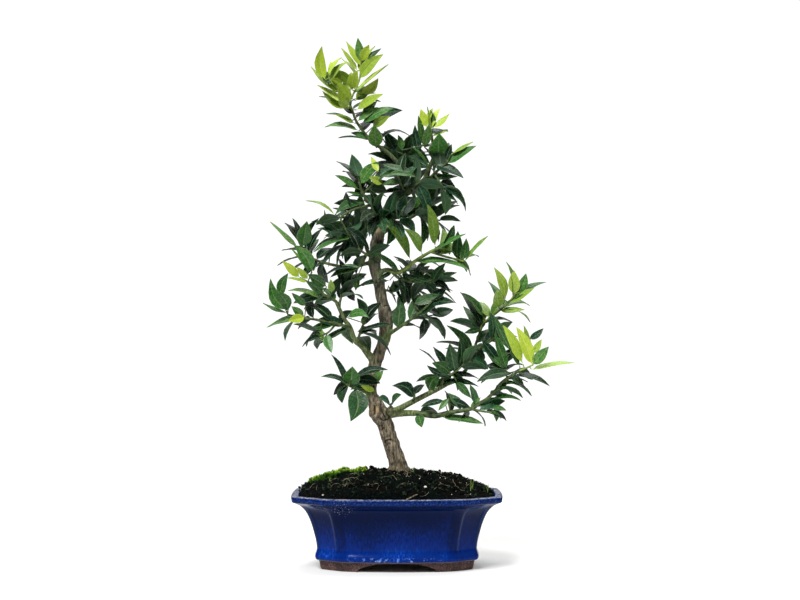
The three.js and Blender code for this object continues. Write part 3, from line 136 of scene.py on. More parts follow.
# The twigs of each spray, the first from the foot on its branch, as in the part's source
TWIGS = {
    "spray_top": [
        [(-6.6, -1, 397.5, 1.8), (-18.2, -3, 406.2, 1.7), (-25.9, -5, 412, 1.5), (-38.5, -7, 428.5, 1.3),
         (-43.3, -8, 441, 1.1), (-46, -8, 448, 1)],
    ],
    "spray_top_young": [
        [(-43.3, -8, 441, 1.1), (-46, -8, 448, 1), (-43, -7, 454.5, 0.95), (-36.6, -4, 469, 0.85),
         (-35, -2, 482, 0.75), (-34.6, -1, 494, 0.65)],
        [(-45, -7.5, 450.5, 0.9), (-57.9, -13, 462.3, 0.85), (-64.6, -17, 470.1, 0.75),
         (-67.5, -19, 477.8, 0.65)],
    ],
    "spray_apex": [
        [(26.3, 6, 372.4, 2.4), (31, 5, 384, 2.2), (36, 4, 397.5, 1.7), (34.5, 2, 410, 1.4),
         (33, 1, 420, 1.1)],
    ],
    "spray_apex_young": [[(34.5, 2, 410, 1.1), (33, 1, 420, 1), (32.3, 0.5, 427, 0.9), (32, 0, 434, 0.7)]],
    "spray_crown_right": [
        [(26, 6, 372, 2), (32, -1, 375, 1.8), (38, -6, 381, 1.5), (44, -9, 386, 1.2), (49, -11, 390, 0.9)],
        [(36, -4, 379, 1.3), (42, -10, 370, 1.1), (46, -14, 362, 0.8)],
    ],
    "spray_crown_front": [
        [(-4, -8, 352, 1.6), (6, -18, 360, 1.5), (14, -25, 366, 1.2), (22, -30, 371, 0.9)],
        [(8, -20, 361.5, 1.2), (4, -27, 369, 1.1), (1, -32, 378, 0.8)],
    ],
    "spray_crown_low": [
        [(-16, 0, 325, 1.9), (-13, -11, 330, 1.5), (-6, -19, 334, 1.2), (3, -26, 337, 0.9)],
        [(-11.5, -13, 331, 1.2), (-16, -21, 337, 1.1), (-20, -27, 343, 0.8)],
    ],
    "spray_upper_left": [
        [(-25, 0, 349, 1.6), (-30.5, -2, 355.5, 1.5), (-35, -4, 366, 1.2), (-37, -5, 377, 0.9)],
        [(-32.5, -3, 360, 1.1), (-26, -8, 366, 1), (-20, -12, 373, 0.8)],
    ],
    "spray_left_hanging": [
        [(-25, 0, 349, 1.8), (-31, -6, 347.5, 1.4), (-43, -10, 344, 1.3), (-54, -13, 337, 1.1),
         (-51, -14, 328, 1), (-45, -15, 318, 0.8)],
    ],
    "spray_left_upper": [
        [(-55, 4, 289.5, 1.5), (-68, 8, 292.5, 1.4), (-81, 11, 297, 1.2), (-91, 13, 307, 1),
         (-95, 14, 313, 0.8)],
    ],
    "spray_left_mid": [
        [(-55, -15, 247, 1.9), (-58.8, -17, 255.3, 1.7), (-67, -20, 260, 1.4), (-77, -23, 267, 1.2),
         (-86, -25, 275, 0.9)],
    ],
    "spray_left_low": [
        [(-45.2, -11, 230.6, 2), (-51, -18, 232, 1.6), (-63, -23, 235, 1.4), (-78, -27, 238, 1.2),
         (-93, -29, 240, 1.1), (-106, -30, 243, 0.9)],
        [(-59, -21.5, 234, 1.1), (-66, -27, 226, 1), (-74, -32, 222, 0.8)],
    ],
    "spray_left_top": [
        [(-56, -15.5, 249, 1.6), (-55, -9, 256, 1.3), (-52, -6, 266, 1.1), (-49, -4, 275, 0.8)],
    ],
    "spray_mid_left": [
        [(-38, -6.5, 216, 1.8), (-37, -14, 221, 1.4), (-33.5, -18, 231, 1.2), (-30, -20, 241, 0.9)],
    ],
    "spray_front_mid": [
        [(-21, -3, 296, 2), (-25, -13, 299, 1.6), (-31, -21, 302, 1.3), (-37, -27, 307, 0.9)],
    ],
    "spray_right_upper": [
        [(-11, -7, 286, 2.1), (3.1, -11, 284.3, 1.9), (16.7, -16, 294, 1.7), (34.1, -20, 304.6, 1.4),
         (46, -23, 309, 1)],
        [(33, -19.5, 303.5, 1.2), (47, -19, 299, 1.1), (65, -18, 294.5, 0.8)],
    ],
    "spray_right_mid": [
        [(-6, -8.5, 285.5, 1.8), (2, -5, 278, 1.4), (12, -6, 275, 1.2), (24, -8, 275, 1.1),
         (35, -9, 277, 0.8)],
    ],
    "spray_right_low": [
        [(-5.6, -1, 225.3, 1.9), (3.1, -5, 231, 1.6), (18.6, -10, 241.7, 1.3), (26, -13, 248, 1.1),
         (34, -15, 256, 0.8)],
        [(15, -9, 239, 1.1), (24, -4, 240, 1), (34, 0, 242, 0.8)],
    ],
    "spray_trunk_right": [
        [(-16.5, -3.5, 267, 1.4), (-8.5, -5, 266, 1.1), (-5, -6.5, 263.5, 0.9), (-2, -8, 261, 0.8)],
    ],
    "spray_low_left": [
        [(-37, -9, 171, 1.6), (-44.9, -13, 173.6, 1.3), (-48, -15, 175, 1.1), (-51, -17, 177, 0.9)],
        [(-46.5, -14, 174, 1.1), (-44.5, -15, 179, 1), (-42, -15, 184, 0.8)],
    ],
    "spray_burr": [
        [(-9, -7, 146.5, 1.4), (-6.5, -14, 152, 1.1), (-6, -16, 154.5, 1), (-5.5, -18, 157, 0.8)],
    ],
    "spray_lower_inner": [
        [(14, 4, 158, 1.5), (16.5, 0.5, 161.5, 1.2), (17, -1, 164.5, 1), (17, -2, 168, 0.8)],
    ],
    "spray_lower_a": [
        [(42, 13, 172, 1.8), (43.5, 8, 177, 1.4), (46.5, 6, 186, 1.1), (49, 5, 194, 0.8)],
        [(45, 7, 182, 1.1), (55, 1, 186, 1), (65, -4, 195, 0.8)],
    ],
    "spray_lower_a_mid": [
        [(57, 18, 179.5, 2), (67, 20, 189.5, 1.7), (74.7, 20, 209.8, 1.4), (79, 19, 222, 1.2),
         (83.5, 18, 234, 1)],
        [(74, 20, 208, 1.1), (85, 14, 213, 1), (95, 9, 221, 0.8)],
    ],
    "spray_lower_a_tip": [
        [(79, 19, 222, 1.1), (83.5, 18, 234, 1), (97.9, 15, 245.6, 0.95), (108.6, 12, 255.3, 0.9),
         (114.4, 10, 263, 0.7)],
    ],
    "spray_lower_b": [
        [(10, -12, 147.6, 3), (19, -14, 147.5, 2.8), (37, -18, 145, 2.7), (51.5, -21, 148.2, 2.2),
         (71.8, -24, 151.7, 1.9), (79, -25, 156.6, 1.7), (87.3, -26, 161.4, 1.6), (95.1, -27, 169.2, 1.5)],
        [(71, -24, 151.5, 1.2), (82, -28, 149.5, 1.1), (92, -31, 148, 0.8)],
    ],
    "spray_lower_b_tip": [
        [(87.3, -26, 161.4, 1.6), (95.1, -27, 169.2, 1.4), (99.9, -28, 175.9, 1.3),
         (108.6, -29, 182.7, 1.2), (119, -30, 188.5, 1)],
        [(107, -29, 182, 1), (102, -24, 191, 0.9), (99, -20, 200, 0.7)],
    ],
    "spray_lower_young": [
        [(108.6, -29, 182.7, 1.1), (119, -30, 188.5, 1), (126, -31, 191.5, 0.9), (132, -32, 194.5, 0.8)],
    ],
    "spray_back_low": [
        [(4, 28, 252, 1.7), (10, 40, 262, 1.5), (14, 50, 272, 1.2), (16, 58, 284, 0.9)],
        [(11.5, 44, 266, 1), (24, 50, 268, 0.9), (34, 54, 272, 0.7)],
    ],
    "spray_back_mid": [
        [(-29, 24, 306, 1.7), (-32, 38, 318, 1.5), (-36, 50, 328, 1.2), (-38, 60, 338, 0.9)],
        [(-34, 43, 322, 1), (-48, 46, 318, 0.9), (-60, 48, 316, 0.7)],
    ],
    "spray_back_right": [
        [(4, 26, 332, 1.7), (16, 38, 338, 1.5), (24, 48, 344, 1.2), (30, 56, 352, 0.9)],
        [(18.5, 41, 340, 1), (30, 38, 336, 0.9), (42, 36, 334, 0.7)],
    ],
    "spray_back_top": [
        [(6, 16, 366, 1.5), (8, 27, 378, 1.4), (8, 36, 388, 1.1), (6, 42, 399, 0.8)],
        [(8, 31, 382, 1), (0, 36, 386, 0.9), (-8, 40, 392, 0.7)],
    ],
}
SLOT_OF = {name: "leaf_mature" for name in TWIGS}
SLOT_OF.update({name: "leaf_green" for name in ("spray_right_upper", "spray_lower_a_tip")})
SLOT_OF.update({name: "leaf_young" for name in ("spray_top_young", "spray_apex_young", "spray_lower_young")})


def seen(x, y, z):
    """A point that the front view shows at x, z on the plane through the pot's middle, at depth y behind."""
    spread = 1 + y / -EYE.y
    return Vector((EYE.x + (x - EYE.x) * spread, y, EYE.z + (z - EYE.z) * spread))


def placed(point):
    """From millimetres about the pot to the frame's metres."""
    return POT_MIDDLE + Vector(point) * MM


def as_seen(point):
    """Where the front view shows a place of the frame, in millimetres (x, z)."""
    x, y, z = (point - POT_MIDDLE) / MM
    spread = 1 + y / -EYE.y
    return EYE.x + (x - EYE.x) / spread, EYE.z + (z - EYE.z) / spread


def colour(hex_value):
    parts = [int(hex_value[i:i + 2], 16) / 255 for i in (1, 3, 5)]
    linear = [c / 12.92 if c <= 0.04045 else ((c + 0.055) / 1.055) ** 2.4 for c in parts]
    return (*linear, 1)


def per(size):
    """A pattern's scale, from the size in millimetres of the grain that it draws."""
    return 1 / (size * MM)


def smooth_step(value, low, high):
    share = min(1, max(0, (value - low) / (high - low)))
    return share * share * (3 - 2 * share)


# Materials

def add(tree, kind, inputs=None, out=None, stops=None, **settings):
    """Adds a node with its settings, its values or links by socket and a ramp's stops. Returns one output."""
    made = tree.nodes.new("ShaderNode" + kind)
    for name, value in settings.items():
        setattr(made, name, value)
    for name, value in (inputs or {}).items():
        if isinstance(value, bpy.types.NodeSocket):
            tree.links.new(value, made.inputs[name])
        else:
            made.inputs[name].default_value = value
    for index, (place, shade) in enumerate(stops or []):
        ramp = made.color_ramp.elements
        stop = ramp[index] if index < 2 else ramp.new(place)
        stop.position = place
        stop.color = colour(shade)
    return made.outputs[out] if out else next(socket for socket in made.outputs if socket.enabled)


def new_material(name, **values):
    """A material, the function that adds its nodes, and its object coordinates."""
    made = bpy.data.materials.new(name)
    made.use_nodes = True
    shader = made.node_tree.nodes["Principled BSDF"]
    for socket, value in values.items():
        shader.inputs[socket.replace("_", " ")].default_value = value
    node = partial(add, made.node_tree)
    return made, node, node("TexCoord", out="Object")


def give(made, **sockets):
    """Links sockets to the shader's inputs."""
    tree = made.node_tree
    for name, socket in sockets.items():
        tree.links.new(socket, tree.nodes["Principled BSDF"].inputs[name.replace("_", " ")])
    return made


DUSTY_SPOT = (-51, -64, 60)


def cobalt_glaze():
    """A thick glossy cobalt glaze that breaks into brighter streaks like hare's fur lower down. Its blue runs
    from bright low down, a painted reflection, to blue-black up under the lip, painted shade, and is darker
    on the raised borders, painted shade too. It is greyish along the corner panels' edges, where the glaze
    runs thin and a painted highlight lies, pale on the base roll, where it pools and painted highlights lie,
    and rubbed bare on the rim."""
    made, node, place = new_material("cobalt_glaze", IOR=1.5, Specular_IOR_Level=0.055)
    split = node("SeparateXYZ", {"Vector": place}).node.outputs
    # Streaks 1.2 mm wide and some 8 mm long
    run = node("Mapping", {"Vector": place, "Scale": (per(1.22), per(1.22), per(8.33))})
    streaks = node("TexNoise", {"Vector": run, "Scale": 1.0, "Detail": 4.0, "Roughness": 0.65})
    clouds = node("TexNoise", {"Vector": place, "Scale": per(33.3), "Detail": 3.0})
    border, brink = (node("Attribute", out="Fac", attribute_name=name) for name in ("border", "brink"))
    # Darker with height: a painted reflection low down and painted shade up under the lip
    height = node("MapRange", {"Value": split["Z"], "From Min": BODY_UNDERSIDE * MM, "From Max": 60 * MM})
    depth = node("Math", {0: streaks, 1: 1.15, 2: height}, operation="MULTIPLY_ADD")
    depth = node("Math", {0: clouds, 1: 0.7, 2: depth}, operation="MULTIPLY_ADD")
    # Darker on the raised borders beside the ridges: painted shade
    depth = node("Math", {0: border, 1: 0.22, 2: depth}, operation="MULTIPLY_ADD")
    depth = node("Math", {0: depth, 1: 0.8}, operation="SUBTRACT")
    shade = node("ValToRGB", {"Fac": depth}, stops=[
        (0.0, "#1c58cc"), (0.12, "#083692"), (0.28, "#042874"), (0.48, "#03216a"), (0.7, "#02184e"),
        (1.0, "#021138")])
    # A greyish line along the corner panels' edges: the glaze running thin there, and a painted highlight
    thin = brink
    for other in (clouds, height, 0.6):
        thin = node("Math", {0: thin, 1: other}, operation="MULTIPLY")
    lip = node("MapRange", {"Value": split["Z"], "From Min": 64.5 * MM, "From Max": 66.2 * MM})
    speckle = node("TexNoise", {"Vector": place, "Scale": per(1.61), "Detail": 3.0})
    lip_blue = node("ValToRGB", {"Fac": speckle}, stops=[
        (0.36, "#051238"), (0.52, "#0a2058"), (0.7, "#1f4286")])
    edge = node("MapRange", {"Value": split["Z"], "From Min": 70.1 * MM, "From Max": 70.8 * MM})
    wear = node("TexNoise", {"Vector": place, "Scale": per(5.88), "Detail": 5.0, "Roughness": 0.7})
    wear = node("MapRange", {"Value": wear, "From Min": 0.36, "From Max": 0.62})
    wear = node("Math", {0: edge, 1: wear}, operation="MULTIPLY")
    bare = node("ValToRGB", {"Fac": speckle}, stops=[(0.35, "#4d5670"), (0.62, "#b4b3b4")])
    # Pale drips that end on the base roll of both long sides: pooled glaze with painted highlights on it
    low = node("MapRange", {"Value": split["Z"], "From Min": 9.6 * MM, "From Max": 10.8 * MM})
    high = node("MapRange", {"Value": split["Z"], "From Min": 14.5 * MM, "From Max": 11.2 * MM})
    pool_and_highlight = node("TexNoise", {"Vector": place, "Scale": per(3.33), "Detail": 2.0})
    pool_and_highlight = node("MapRange", {"Value": pool_and_highlight, "From Min": 0.52, "From Max": 0.66, "To Max": 0.75})
    side = node("Math", {0: split["X"], 1: POT_MIDDLE.x - 4 * MM}, operation="SUBTRACT")
    side = node("Math", {0: side}, operation="ABSOLUTE")
    reach = node("MapRange", {"Value": side, "From Min": 50 * MM, "From Max": 18 * MM})
    for other in (low, high, reach):
        pool_and_highlight = node("Math", {0: pool_and_highlight, 1: other}, operation="MULTIPLY")
    # The glaze stops short of the base's edge
    bare_edge = node("MapRange", {
        "Value": split["Z"], "From Min": 10.1 * MM, "From Max": 9.4 * MM, "To Max": 0.85})
    # Dust in the glaze under the lip, left of the front's middle
    near = node("VectorMath", {0: place, 1: placed(DUSTY_SPOT)}, "Value", operation="DISTANCE")
    near = node("MapRange", {"Value": near, "From Min": 14 * MM, "From Max": 6 * MM})
    dust = node("TexNoise", {"Vector": place, "Scale": per(1.11), "Detail": 1.0})
    dust = node("MapRange", {"Value": dust, "From Min": 0.66, "From Max": 0.7, "To Max": 0.7})
    dust = node("Math", {0: dust, 1: near}, operation="MULTIPLY")
    for share, over in ((thin, colour("#345389")), (lip, lip_blue), (wear, bare), (pool_and_highlight, colour("#8fb0ee")),
                        (bare_edge, colour("#5d5553")), (dust, colour("#a9b3bd"))):
        shade = node("Mix", {"Factor": share, "A": shade, "B": over}, data_type="RGBA")
    rough = node("MapRange", {"Value": wear, "To Min": 0.1, "To Max": 0.6})
    peel = node("TexNoise", {"Vector": place, "Scale": per(3.85), "Detail": 2.0})
    bump = node("Bump", {"Height": peel, "Strength": 0.12, "Distance": 0.6 * MM})
    return give(made, Base_Color=shade, Roughness=rough, Normal=bump)


def bare_stoneware():
    """Iron-rich stoneware left bare: a dull dark reddish brown with fine grog in it."""
    made, node, place = new_material("bare_stoneware", Roughness=0.75, IOR=1.5, Specular_IOR_Level=0.3)
    grog = node("TexNoise", {"Vector": place, "Scale": per(1.11), "Detail": 3.0})
    clouds = node("TexNoise", {"Vector": place, "Scale": per(11.1), "Detail": 3.0})
    both = node("Math", {0: clouds, 1: 0.6, 2: grog}, operation="MULTIPLY_ADD")
    shade = node("ValToRGB", {"Fac": both}, stops=[(0.62, "#241a1a"), (0.8, "#46312f"), (1.0, "#6e5752")])
    bump = node("Bump", {"Height": grog, "Strength": 0.35, "Distance": 0.5 * MM})
    return give(made, Base_Color=shade, Normal=bump)


def damp_soil():
    """Damp peat and bark crumb: nearly black, with brown crumbs and a green bloom of algae."""
    made, node, place = new_material("damp_soil", Roughness=0.9, Specular_IOR_Level=0.03)
    crumb = node("TexNoise", {"Vector": place, "Scale": per(1.92), "Detail": 4.0, "Roughness": 0.65})
    patch = node("TexNoise", {"Vector": place, "Scale": per(22.2), "Detail": 3.0})
    brown = node("ValToRGB", {"Fac": crumb}, stops=[(0.4, "#020202"), (0.56, "#0a0908"), (0.72, "#241e16")])
    green = node("ValToRGB", {"Fac": crumb}, stops=[(0.4, "#010303"), (0.56, "#060c0b"), (0.72, "#16221c")])
    where = node("MapRange", {"Value": patch, "From Min": 0.4, "From Max": 0.58})
    shade = node("Mix", {"Factor": where, "A": brown, "B": green}, data_type="RGBA")
    bump = node("Bump", {"Height": crumb, "Strength": 0.8, "Distance": 1.5 * MM})
    return give(made, Base_Color=shade, Normal=bump)


def moss(name, low, middle, high):
    """Moss shoots: matt and soft, paler at their tips. The attributes tip and tone say how pale."""
    made, node, _ = new_material(name, Roughness=0.8, Specular_IOR_Level=0.04)
    tip, tone = (node("Attribute", out="Fac", attribute_name=name) for name in ("tip", "tone"))
    both = node("Math", {0: tip, 1: 0.35, 2: tone}, operation="MULTIPLY_ADD")
    shade = node("ValToRGB", {"Fac": both}, stops=[(0.15, low), (0.65, middle), (1.0, high)])
    return give(made, Base_Color=shade)


def citrus_bark():
    """Thin grey-brown citrus bark with lengthwise fissures. The attribute youth is 1 on stretches that are
    still smooth and olive green, crease on scars and clefts, which the colour darkens there as painted shade,
    and callus on pale healed wood."""
    made, node, place = new_material("citrus_bark", Roughness=0.8, IOR=1.45, Specular_IOR_Level=0.25)
    along = node("Mapping", {"Vector": place, "Scale": (1, 1, 0.22)})
    fibre = node("TexNoise", {"Vector": along, "Scale": per(1.56), "Detail": 5.0, "Roughness": 0.6})
    broad = node("TexNoise", {"Vector": place, "Scale": per(7.7), "Detail": 4.0})
    old = node("ValToRGB", {"Fac": fibre}, stops=[
        (0.3, "#28231c"), (0.42, "#62594a"), (0.54, "#998e7b"), (0.7, "#cfc5b0")])
    warm = node("ValToRGB", {"Fac": broad}, stops=[(0.36, "#70746a"), (0.5, "#aaa394"), (0.66, "#c9ad90")])
    shade = node("Mix", {"Factor": 0.5, "A": old, "B": warm}, data_type="RGBA", blend_type="MULTIPLY")
    young = node("ValToRGB", {"Fac": fibre}, stops=[(0.3, "#35431f"), (0.5, "#657446"), (0.7, "#98a276")])
    youth, callus, crease = (
        node("Attribute", out="Fac", attribute_name=name) for name in ("youth", "callus", "crease"))
    # Algae on the foot, and painted shade, darker and greener, where the crown shades the wood
    height = node("SeparateXYZ", {"Vector": place}, out="Z")
    foot = node("MapRange", {"Value": height, "From Min": 106 * MM, "From Max": 90 * MM})
    algae = node("Math", {0: foot, 1: broad}, operation="MULTIPLY")
    shaded = node("MapRange", {"Value": height, "From Min": 190 * MM, "From Max": 260 * MM, "To Max": 0.4})
    # The crease colour is painted shade in the clefts and scars
    for share, over in ((youth, young), (algae, colour("#3c3a1c")), (shaded, colour("#454d3e")),
                        (callus, colour("#b29a74")), (crease, colour("#1e1812"))):
        shade = node("Mix", {"Factor": share, "A": shade, "B": over}, data_type="RGBA")
    bump = node("Bump", {"Height": fibre, "Strength": 0.9, "Distance": 1.5 * MM})
    return give(made, Base_Color=shade, Normal=bump)


def green_shoot():
    """This year's and last year's shoots: smooth, ribbed and olive green, a little waxy."""
    made, node, place = new_material("green_shoot", Roughness=0.5, IOR=1.45, Specular_IOR_Level=0.3)
    ribs = node("TexNoise", {"Vector": place, "Scale": per(3.85), "Detail": 3.0})
    age = node("Attribute", out="Fac", attribute_name="age")
    old = node("ValToRGB", {"Fac": ribs}, stops=[(0.35, "#1c2a17"), (0.65, "#55663c")])
    young = node("ValToRGB", {"Fac": ribs}, stops=[(0.35, "#5c7a22"), (0.65, "#a3b858")])
    shade = node("Mix", {"Factor": age, "A": old, "B": young}, data_type="RGBA")
    return give(made, Base_Color=shade)


def citrus_leaf():
    """A leathery, waxy citrus blade. The attribute age runs from a dark blue-green mature leaf to a
    yellow-green young one, tone varies it leaf by leaf, and under is 1 on the paler, duller underside. The
    midrib, the side veins and the pale margin follow the blade's own map: u across it, v along it. The pale
    margin is partly the leaf's own colour and partly a painted highlight along its rim."""
    made, node, place = new_material("citrus_leaf", IOR=1.45, Specular_IOR_Level=0.27, Subsurface_Weight=0.06,
                                     Subsurface_Scale=3 * MM, Subsurface_Radius=(0.5, 1.0, 0.15))
    age, tone, under = (
        node("Attribute", out="Fac", attribute_name=name) for name in ("age", "tone", "under"))
    # Flecks of paler green, 1 to 3 mm across
    mottle = node("TexNoise", {"Vector": place, "Scale": per(2.38), "Detail": 3.0})
    uneven = node("Math", {0: mottle, 1: 0.9, 2: tone}, operation="MULTIPLY_ADD")
    shift = node("Math", {0: uneven, 1: 0.45}, operation="SUBTRACT")
    mature = node("ValToRGB", {"Fac": shift}, stops=[(0.0, "#030e0a"), (0.5, "#0a251c"), (1.0, "#2d583c")])
    middle = node("ValToRGB", {"Fac": shift}, stops=[(0.0, "#1c481f"), (0.5, "#3d7433"), (1.0, "#88ae5a")])
    young = node("ValToRGB", {"Fac": shift}, stops=[(0.0, "#9bbd2e"), (0.5, "#b5ce40"), (1.0, "#cfde5e")])
    first = node("MapRange", {"Value": age, "From Min": 0.1, "From Max": 0.5})
    second = node("MapRange", {"Value": age, "From Min": 0.5, "From Max": 1.0})
    shade = mature
    for share, over in ((first, middle), (second, young)):
        shade = node("Mix", {"Factor": share, "A": shade, "B": over}, data_type="RGBA")
    blade = node("SeparateXYZ", {"Vector": node("UVMap", uv_map="UVMap")}).node.outputs
    side = node("Math", {0: blade["X"], 1: 0.5}, operation="SUBTRACT")
    side = node("Math", {0: side}, operation="ABSOLUTE")
    rib = node("MapRange", {"Value": side, "From Min": 0.055, "From Max": 0.012, "To Max": 0.85})
    # A paler margin: partly the leaf's own colour, partly a painted highlight along the rim
    margin = node("MapRange", {"Value": side, "From Min": 0.455, "From Max": 0.49, "To Max": 0.8})
    slant = node("Math", {0: side, 1: -1.1, 2: blade["Y"]}, operation="MULTIPLY_ADD")
    wave = node("Math", {0: slant, 1: 0.09}, operation="PINGPONG")
    veins = node("MapRange", {"Value": wave, "From Min": 0.016, "From Max": 0.0, "To Max": 0.28})
    lines = node("Math", {0: rib, 1: veins}, operation="MAXIMUM")
    lines = node("Math", {0: lines, 1: margin}, operation="MAXIMUM")
    pale = node("Mix", {"Factor": age, "A": colour("#6d8a56"), "B": colour("#e2eaa0")}, data_type="RGBA")
    faint = node("MapRange", {"Value": age, "To Min": 0.55, "To Max": 0.25})
    amount = node("Math", {0: lines, 1: faint}, operation="MULTIPLY")
    shade = node("Mix", {"Factor": amount, "A": shade, "B": pale}, data_type="RGBA")
    dull = node("Mix", {"Factor": 0.3, "A": shade, "B": colour("#4d6c4c")}, data_type="RGBA")
    shade = node("Mix", {"Factor": under, "A": shade, "B": dull}, data_type="RGBA")
    gloss = node("MapRange", {"Value": under, "To Min": 0.17, "To Max": 0.5})
    gloss = node("Math", {0: mottle, 1: 0.2, 2: gloss}, operation="MULTIPLY_ADD")
    relief = node("Math", {0: lines, 1: -1.0, 2: mottle}, operation="MULTIPLY_ADD")
    bump = node("Bump", {"Height": relief, "Strength": faint, "Distance": 0.4 * MM})
    return give(made, Base_Color=shade, Roughness=gloss, Normal=bump)


def grained(name, low, high, size, roughness):
    """Two shades of one stuff, in grains of this size in millimetres."""
    made, node, place = new_material(name, Roughness=roughness, Specular_IOR_Level=0.3)
    grain = node("TexNoise", {"Vector": place, "Scale": per(size), "Detail": 3.0})
    shade = node("ValToRGB", {"Fac": grain}, stops=[(0.38, low), (0.62, high)])
    bump = node("Bump", {"Height": grain, "Strength": 0.3, "Distance": 0.4 * MM})
    return give(made, Base_Color=shade, Normal=bump)


GLAZE = cobalt_glaze()
CLAY = bare_stoneware()
SOIL = damp_soil()
MOSS_BRIGHT = moss("bright_moss", "#0a1406", "#35600f", "#9cb630")
MOSS_DARK = moss("dark_moss", "#020303", "#0b1410", "#2c3c28")
BARK = citrus_bark()
SHOOT = green_shoot()
LEAF = citrus_leaf()
STRAW = grained("dry_straw", "#2e281d", "#8c8266", 3.33, 0.7)
GRIT = grained("pale_grit", "#b9b3a4", "#f2eee0", 1.67, 0.8)
MESH_PLASTIC = grained("moulded_mesh", "#161614", "#2a2a27", 2.5, 0.55)
FLOOR = grained("pale_floor", "#f1f1ef", "#f6f6f4", 250, 0.6)


# Making meshes

WELD = 0.02 * MM


def clear_selection():
    if bpy.context.object and bpy.context.object.mode != "OBJECT":
        bpy.ops.object.mode_set(mode="OBJECT")
    bpy.ops.object.select_all(action="DESELECT")


def choose(*objects):
    clear_selection()
    for item in objects:
        item.select_set(True)
    bpy.context.view_layer.objects.active = objects[0]


def settle(item, name, *materials):
    """Names a piece, lays its place into its mesh and gives it its materials."""
    choose(item)
    bpy.ops.object.transform_apply(location=True, rotation=True, scale=True)
    item.name = name
    item.data.name = name
    for index, material in enumerate(materials):
        if index < len(item.data.materials):
            item.data.materials[index] = material
        else:
            item.data.materials.append(material)
    return item


def apply_modifier(item, kind, **settings):
    choose(item)
    modifier = item.modifiers.new(kind.lower(), kind)
    for name, value in settings.items():
        setattr(modifier, name, value)
    bpy.ops.object.modifier_apply(modifier=modifier.name)


def joined(items):
    choose(*items)
    if len(items) > 1:
        bpy.ops.object.join()
    return bpy.context.view_layer.objects.active


def set_attribute(mesh, name, domain, values):
    layer = mesh.attributes.get(name) or mesh.attributes.new(name, "FLOAT", domain)
    layer.data.foreach_set("value", np.asarray(values, np.float32))


def sheet_of(columns, rows, place, **values):
    """A grid primitive whose vertices go where place(column, row) says, with values of that kind as
    attributes."""
    clear_selection()
    bpy.ops.mesh.primitive_grid_add(x_subdivisions=columns, y_subdivisions=rows, size=1)
    sheet = bpy.context.object
    steps = [(round((v.co.x + 0.5) * columns), round((v.co.y + 0.5) * rows)) for v in sheet.data.vertices]
    for vertex, step in zip(sheet.data.vertices, steps):
        vertex.co = place(*step)
    for name, value in values.items():
        set_attribute(sheet.data, name, "POINT", [value(*step) for step in steps])
    return sheet


def band(rings, **values):
    """A closed band through rings of points, with values laid out like the points as attributes."""
    around = len(rings[0])

    def at(table):
        return lambda column, row: table[row][column % around]

    return sheet_of(around, len(rings) - 1, at(rings), **{name: at(table) for name, table in values.items()})


def close_seams(item):
    """Welds an object's doubled points and turns its faces outwards."""
    choose(item)
    bpy.ops.object.mode_set(mode="EDIT")
    bpy.ops.mesh.select_all(action="SELECT")
    bpy.ops.mesh.remove_doubles(threshold=WELD)
    bpy.ops.mesh.normals_make_consistent(inside=False)
    bpy.ops.object.mode_set(mode="OBJECT")


def fill_openings(item):
    """Closes an object with a face over each of its open loops."""
    close_seams(item)
    bpy.ops.object.mode_set(mode="EDIT")
    bpy.ops.mesh.select_mode(type="EDGE")
    bpy.ops.mesh.select_all(action="DESELECT")
    bpy.ops.mesh.select_non_manifold()
    bpy.ops.mesh.edge_face_add()
    bpy.ops.mesh.select_mode(type="VERT")
    close_seams(item)


def boolean(item, other, operation):
    apply_modifier(item, "BOOLEAN", object=other, operation=operation, solver="EXACT")
    bpy.data.objects.remove(other, do_unlink=True)


def tube(stops, sides):
    """A closed round tube through (place, radius) stops."""
    curve = bpy.data.curves.new("tube", "CURVE")
    curve.dimensions = "3D"
    curve.bevel_depth = 1
    curve.bevel_resolution = (sides - 4) // 2
    curve.use_fill_caps = True
    spline = curve.splines.new("POLY")
    spline.points.add(len(stops) - 1)
    for point, (place, radius) in zip(spline.points, stops):
        point.co = (*place, 1)
        point.radius = radius
    made = bpy.data.objects.new("tube", curve)
    bpy.context.collection.objects.link(made)
    choose(made)
    bpy.ops.object.convert(target="MESH")
    made = bpy.context.object
    close_seams(made)
    return made


def pebble(x, y, z, size, roughness, lumps):
    """A small uneven lump. The lumps on it are so many to the metre."""
    clear_selection()
    bpy.ops.mesh.primitive_ico_sphere_add(subdivisions=2, radius=size * MM, location=placed((x, y, z)))
    made = bpy.context.object
    for vertex in made.data.vertices:
        vertex.co *= 1 + roughness * noise.noise(vertex.co * lumps + Vector((x, y, size)))
    bpy.ops.object.transform_apply(location=True, rotation=False, scale=False)
    return made


def catmull(points, steps):
    """Points on a smooth curve through the given ones, each a vector of any size."""
    points = [np.array(p, float) for p in points]
    ends = [2 * points[0] - points[1], *points, 2 * points[-1] - points[-2]]
    made = []
    for a, b, c, d in zip(ends, ends[1:], ends[2:], ends[3:]):
        for step in range(steps):
            t = step / steps
            made.append(0.5 * ((2 * b) + (c - a) * t + (2 * a - 5 * b + 4 * c - d) * t * t
                               + (3 * b - a - 3 * c + d) * t ** 3))
    return [*made, points[-1]]


# The pot

def stations(length, near_ridge, spaces, both_ends):
    """Distances along a panel from its ridge: close together there, and then evenly spread."""
    squeeze = min(1, 0.42 * length / max(near_ridge[-1], 0.01))
    near_ridge = [d * squeeze for d in near_ridge]
    last = length - near_ridge[-1] if both_ends else length
    middle = [near_ridge[-1] + (last - near_ridge[-1]) * k / spaces for k in range(1, spaces)]
    return [*near_ridge, *middle, *([length - d for d in reversed(near_ridge)] if both_ends else [length])]


def bowed_depth(x, ridge_x, half_depth):
    return half_depth + LONG_SIDE_BOW * (1 - (x / ridge_x) ** 2)


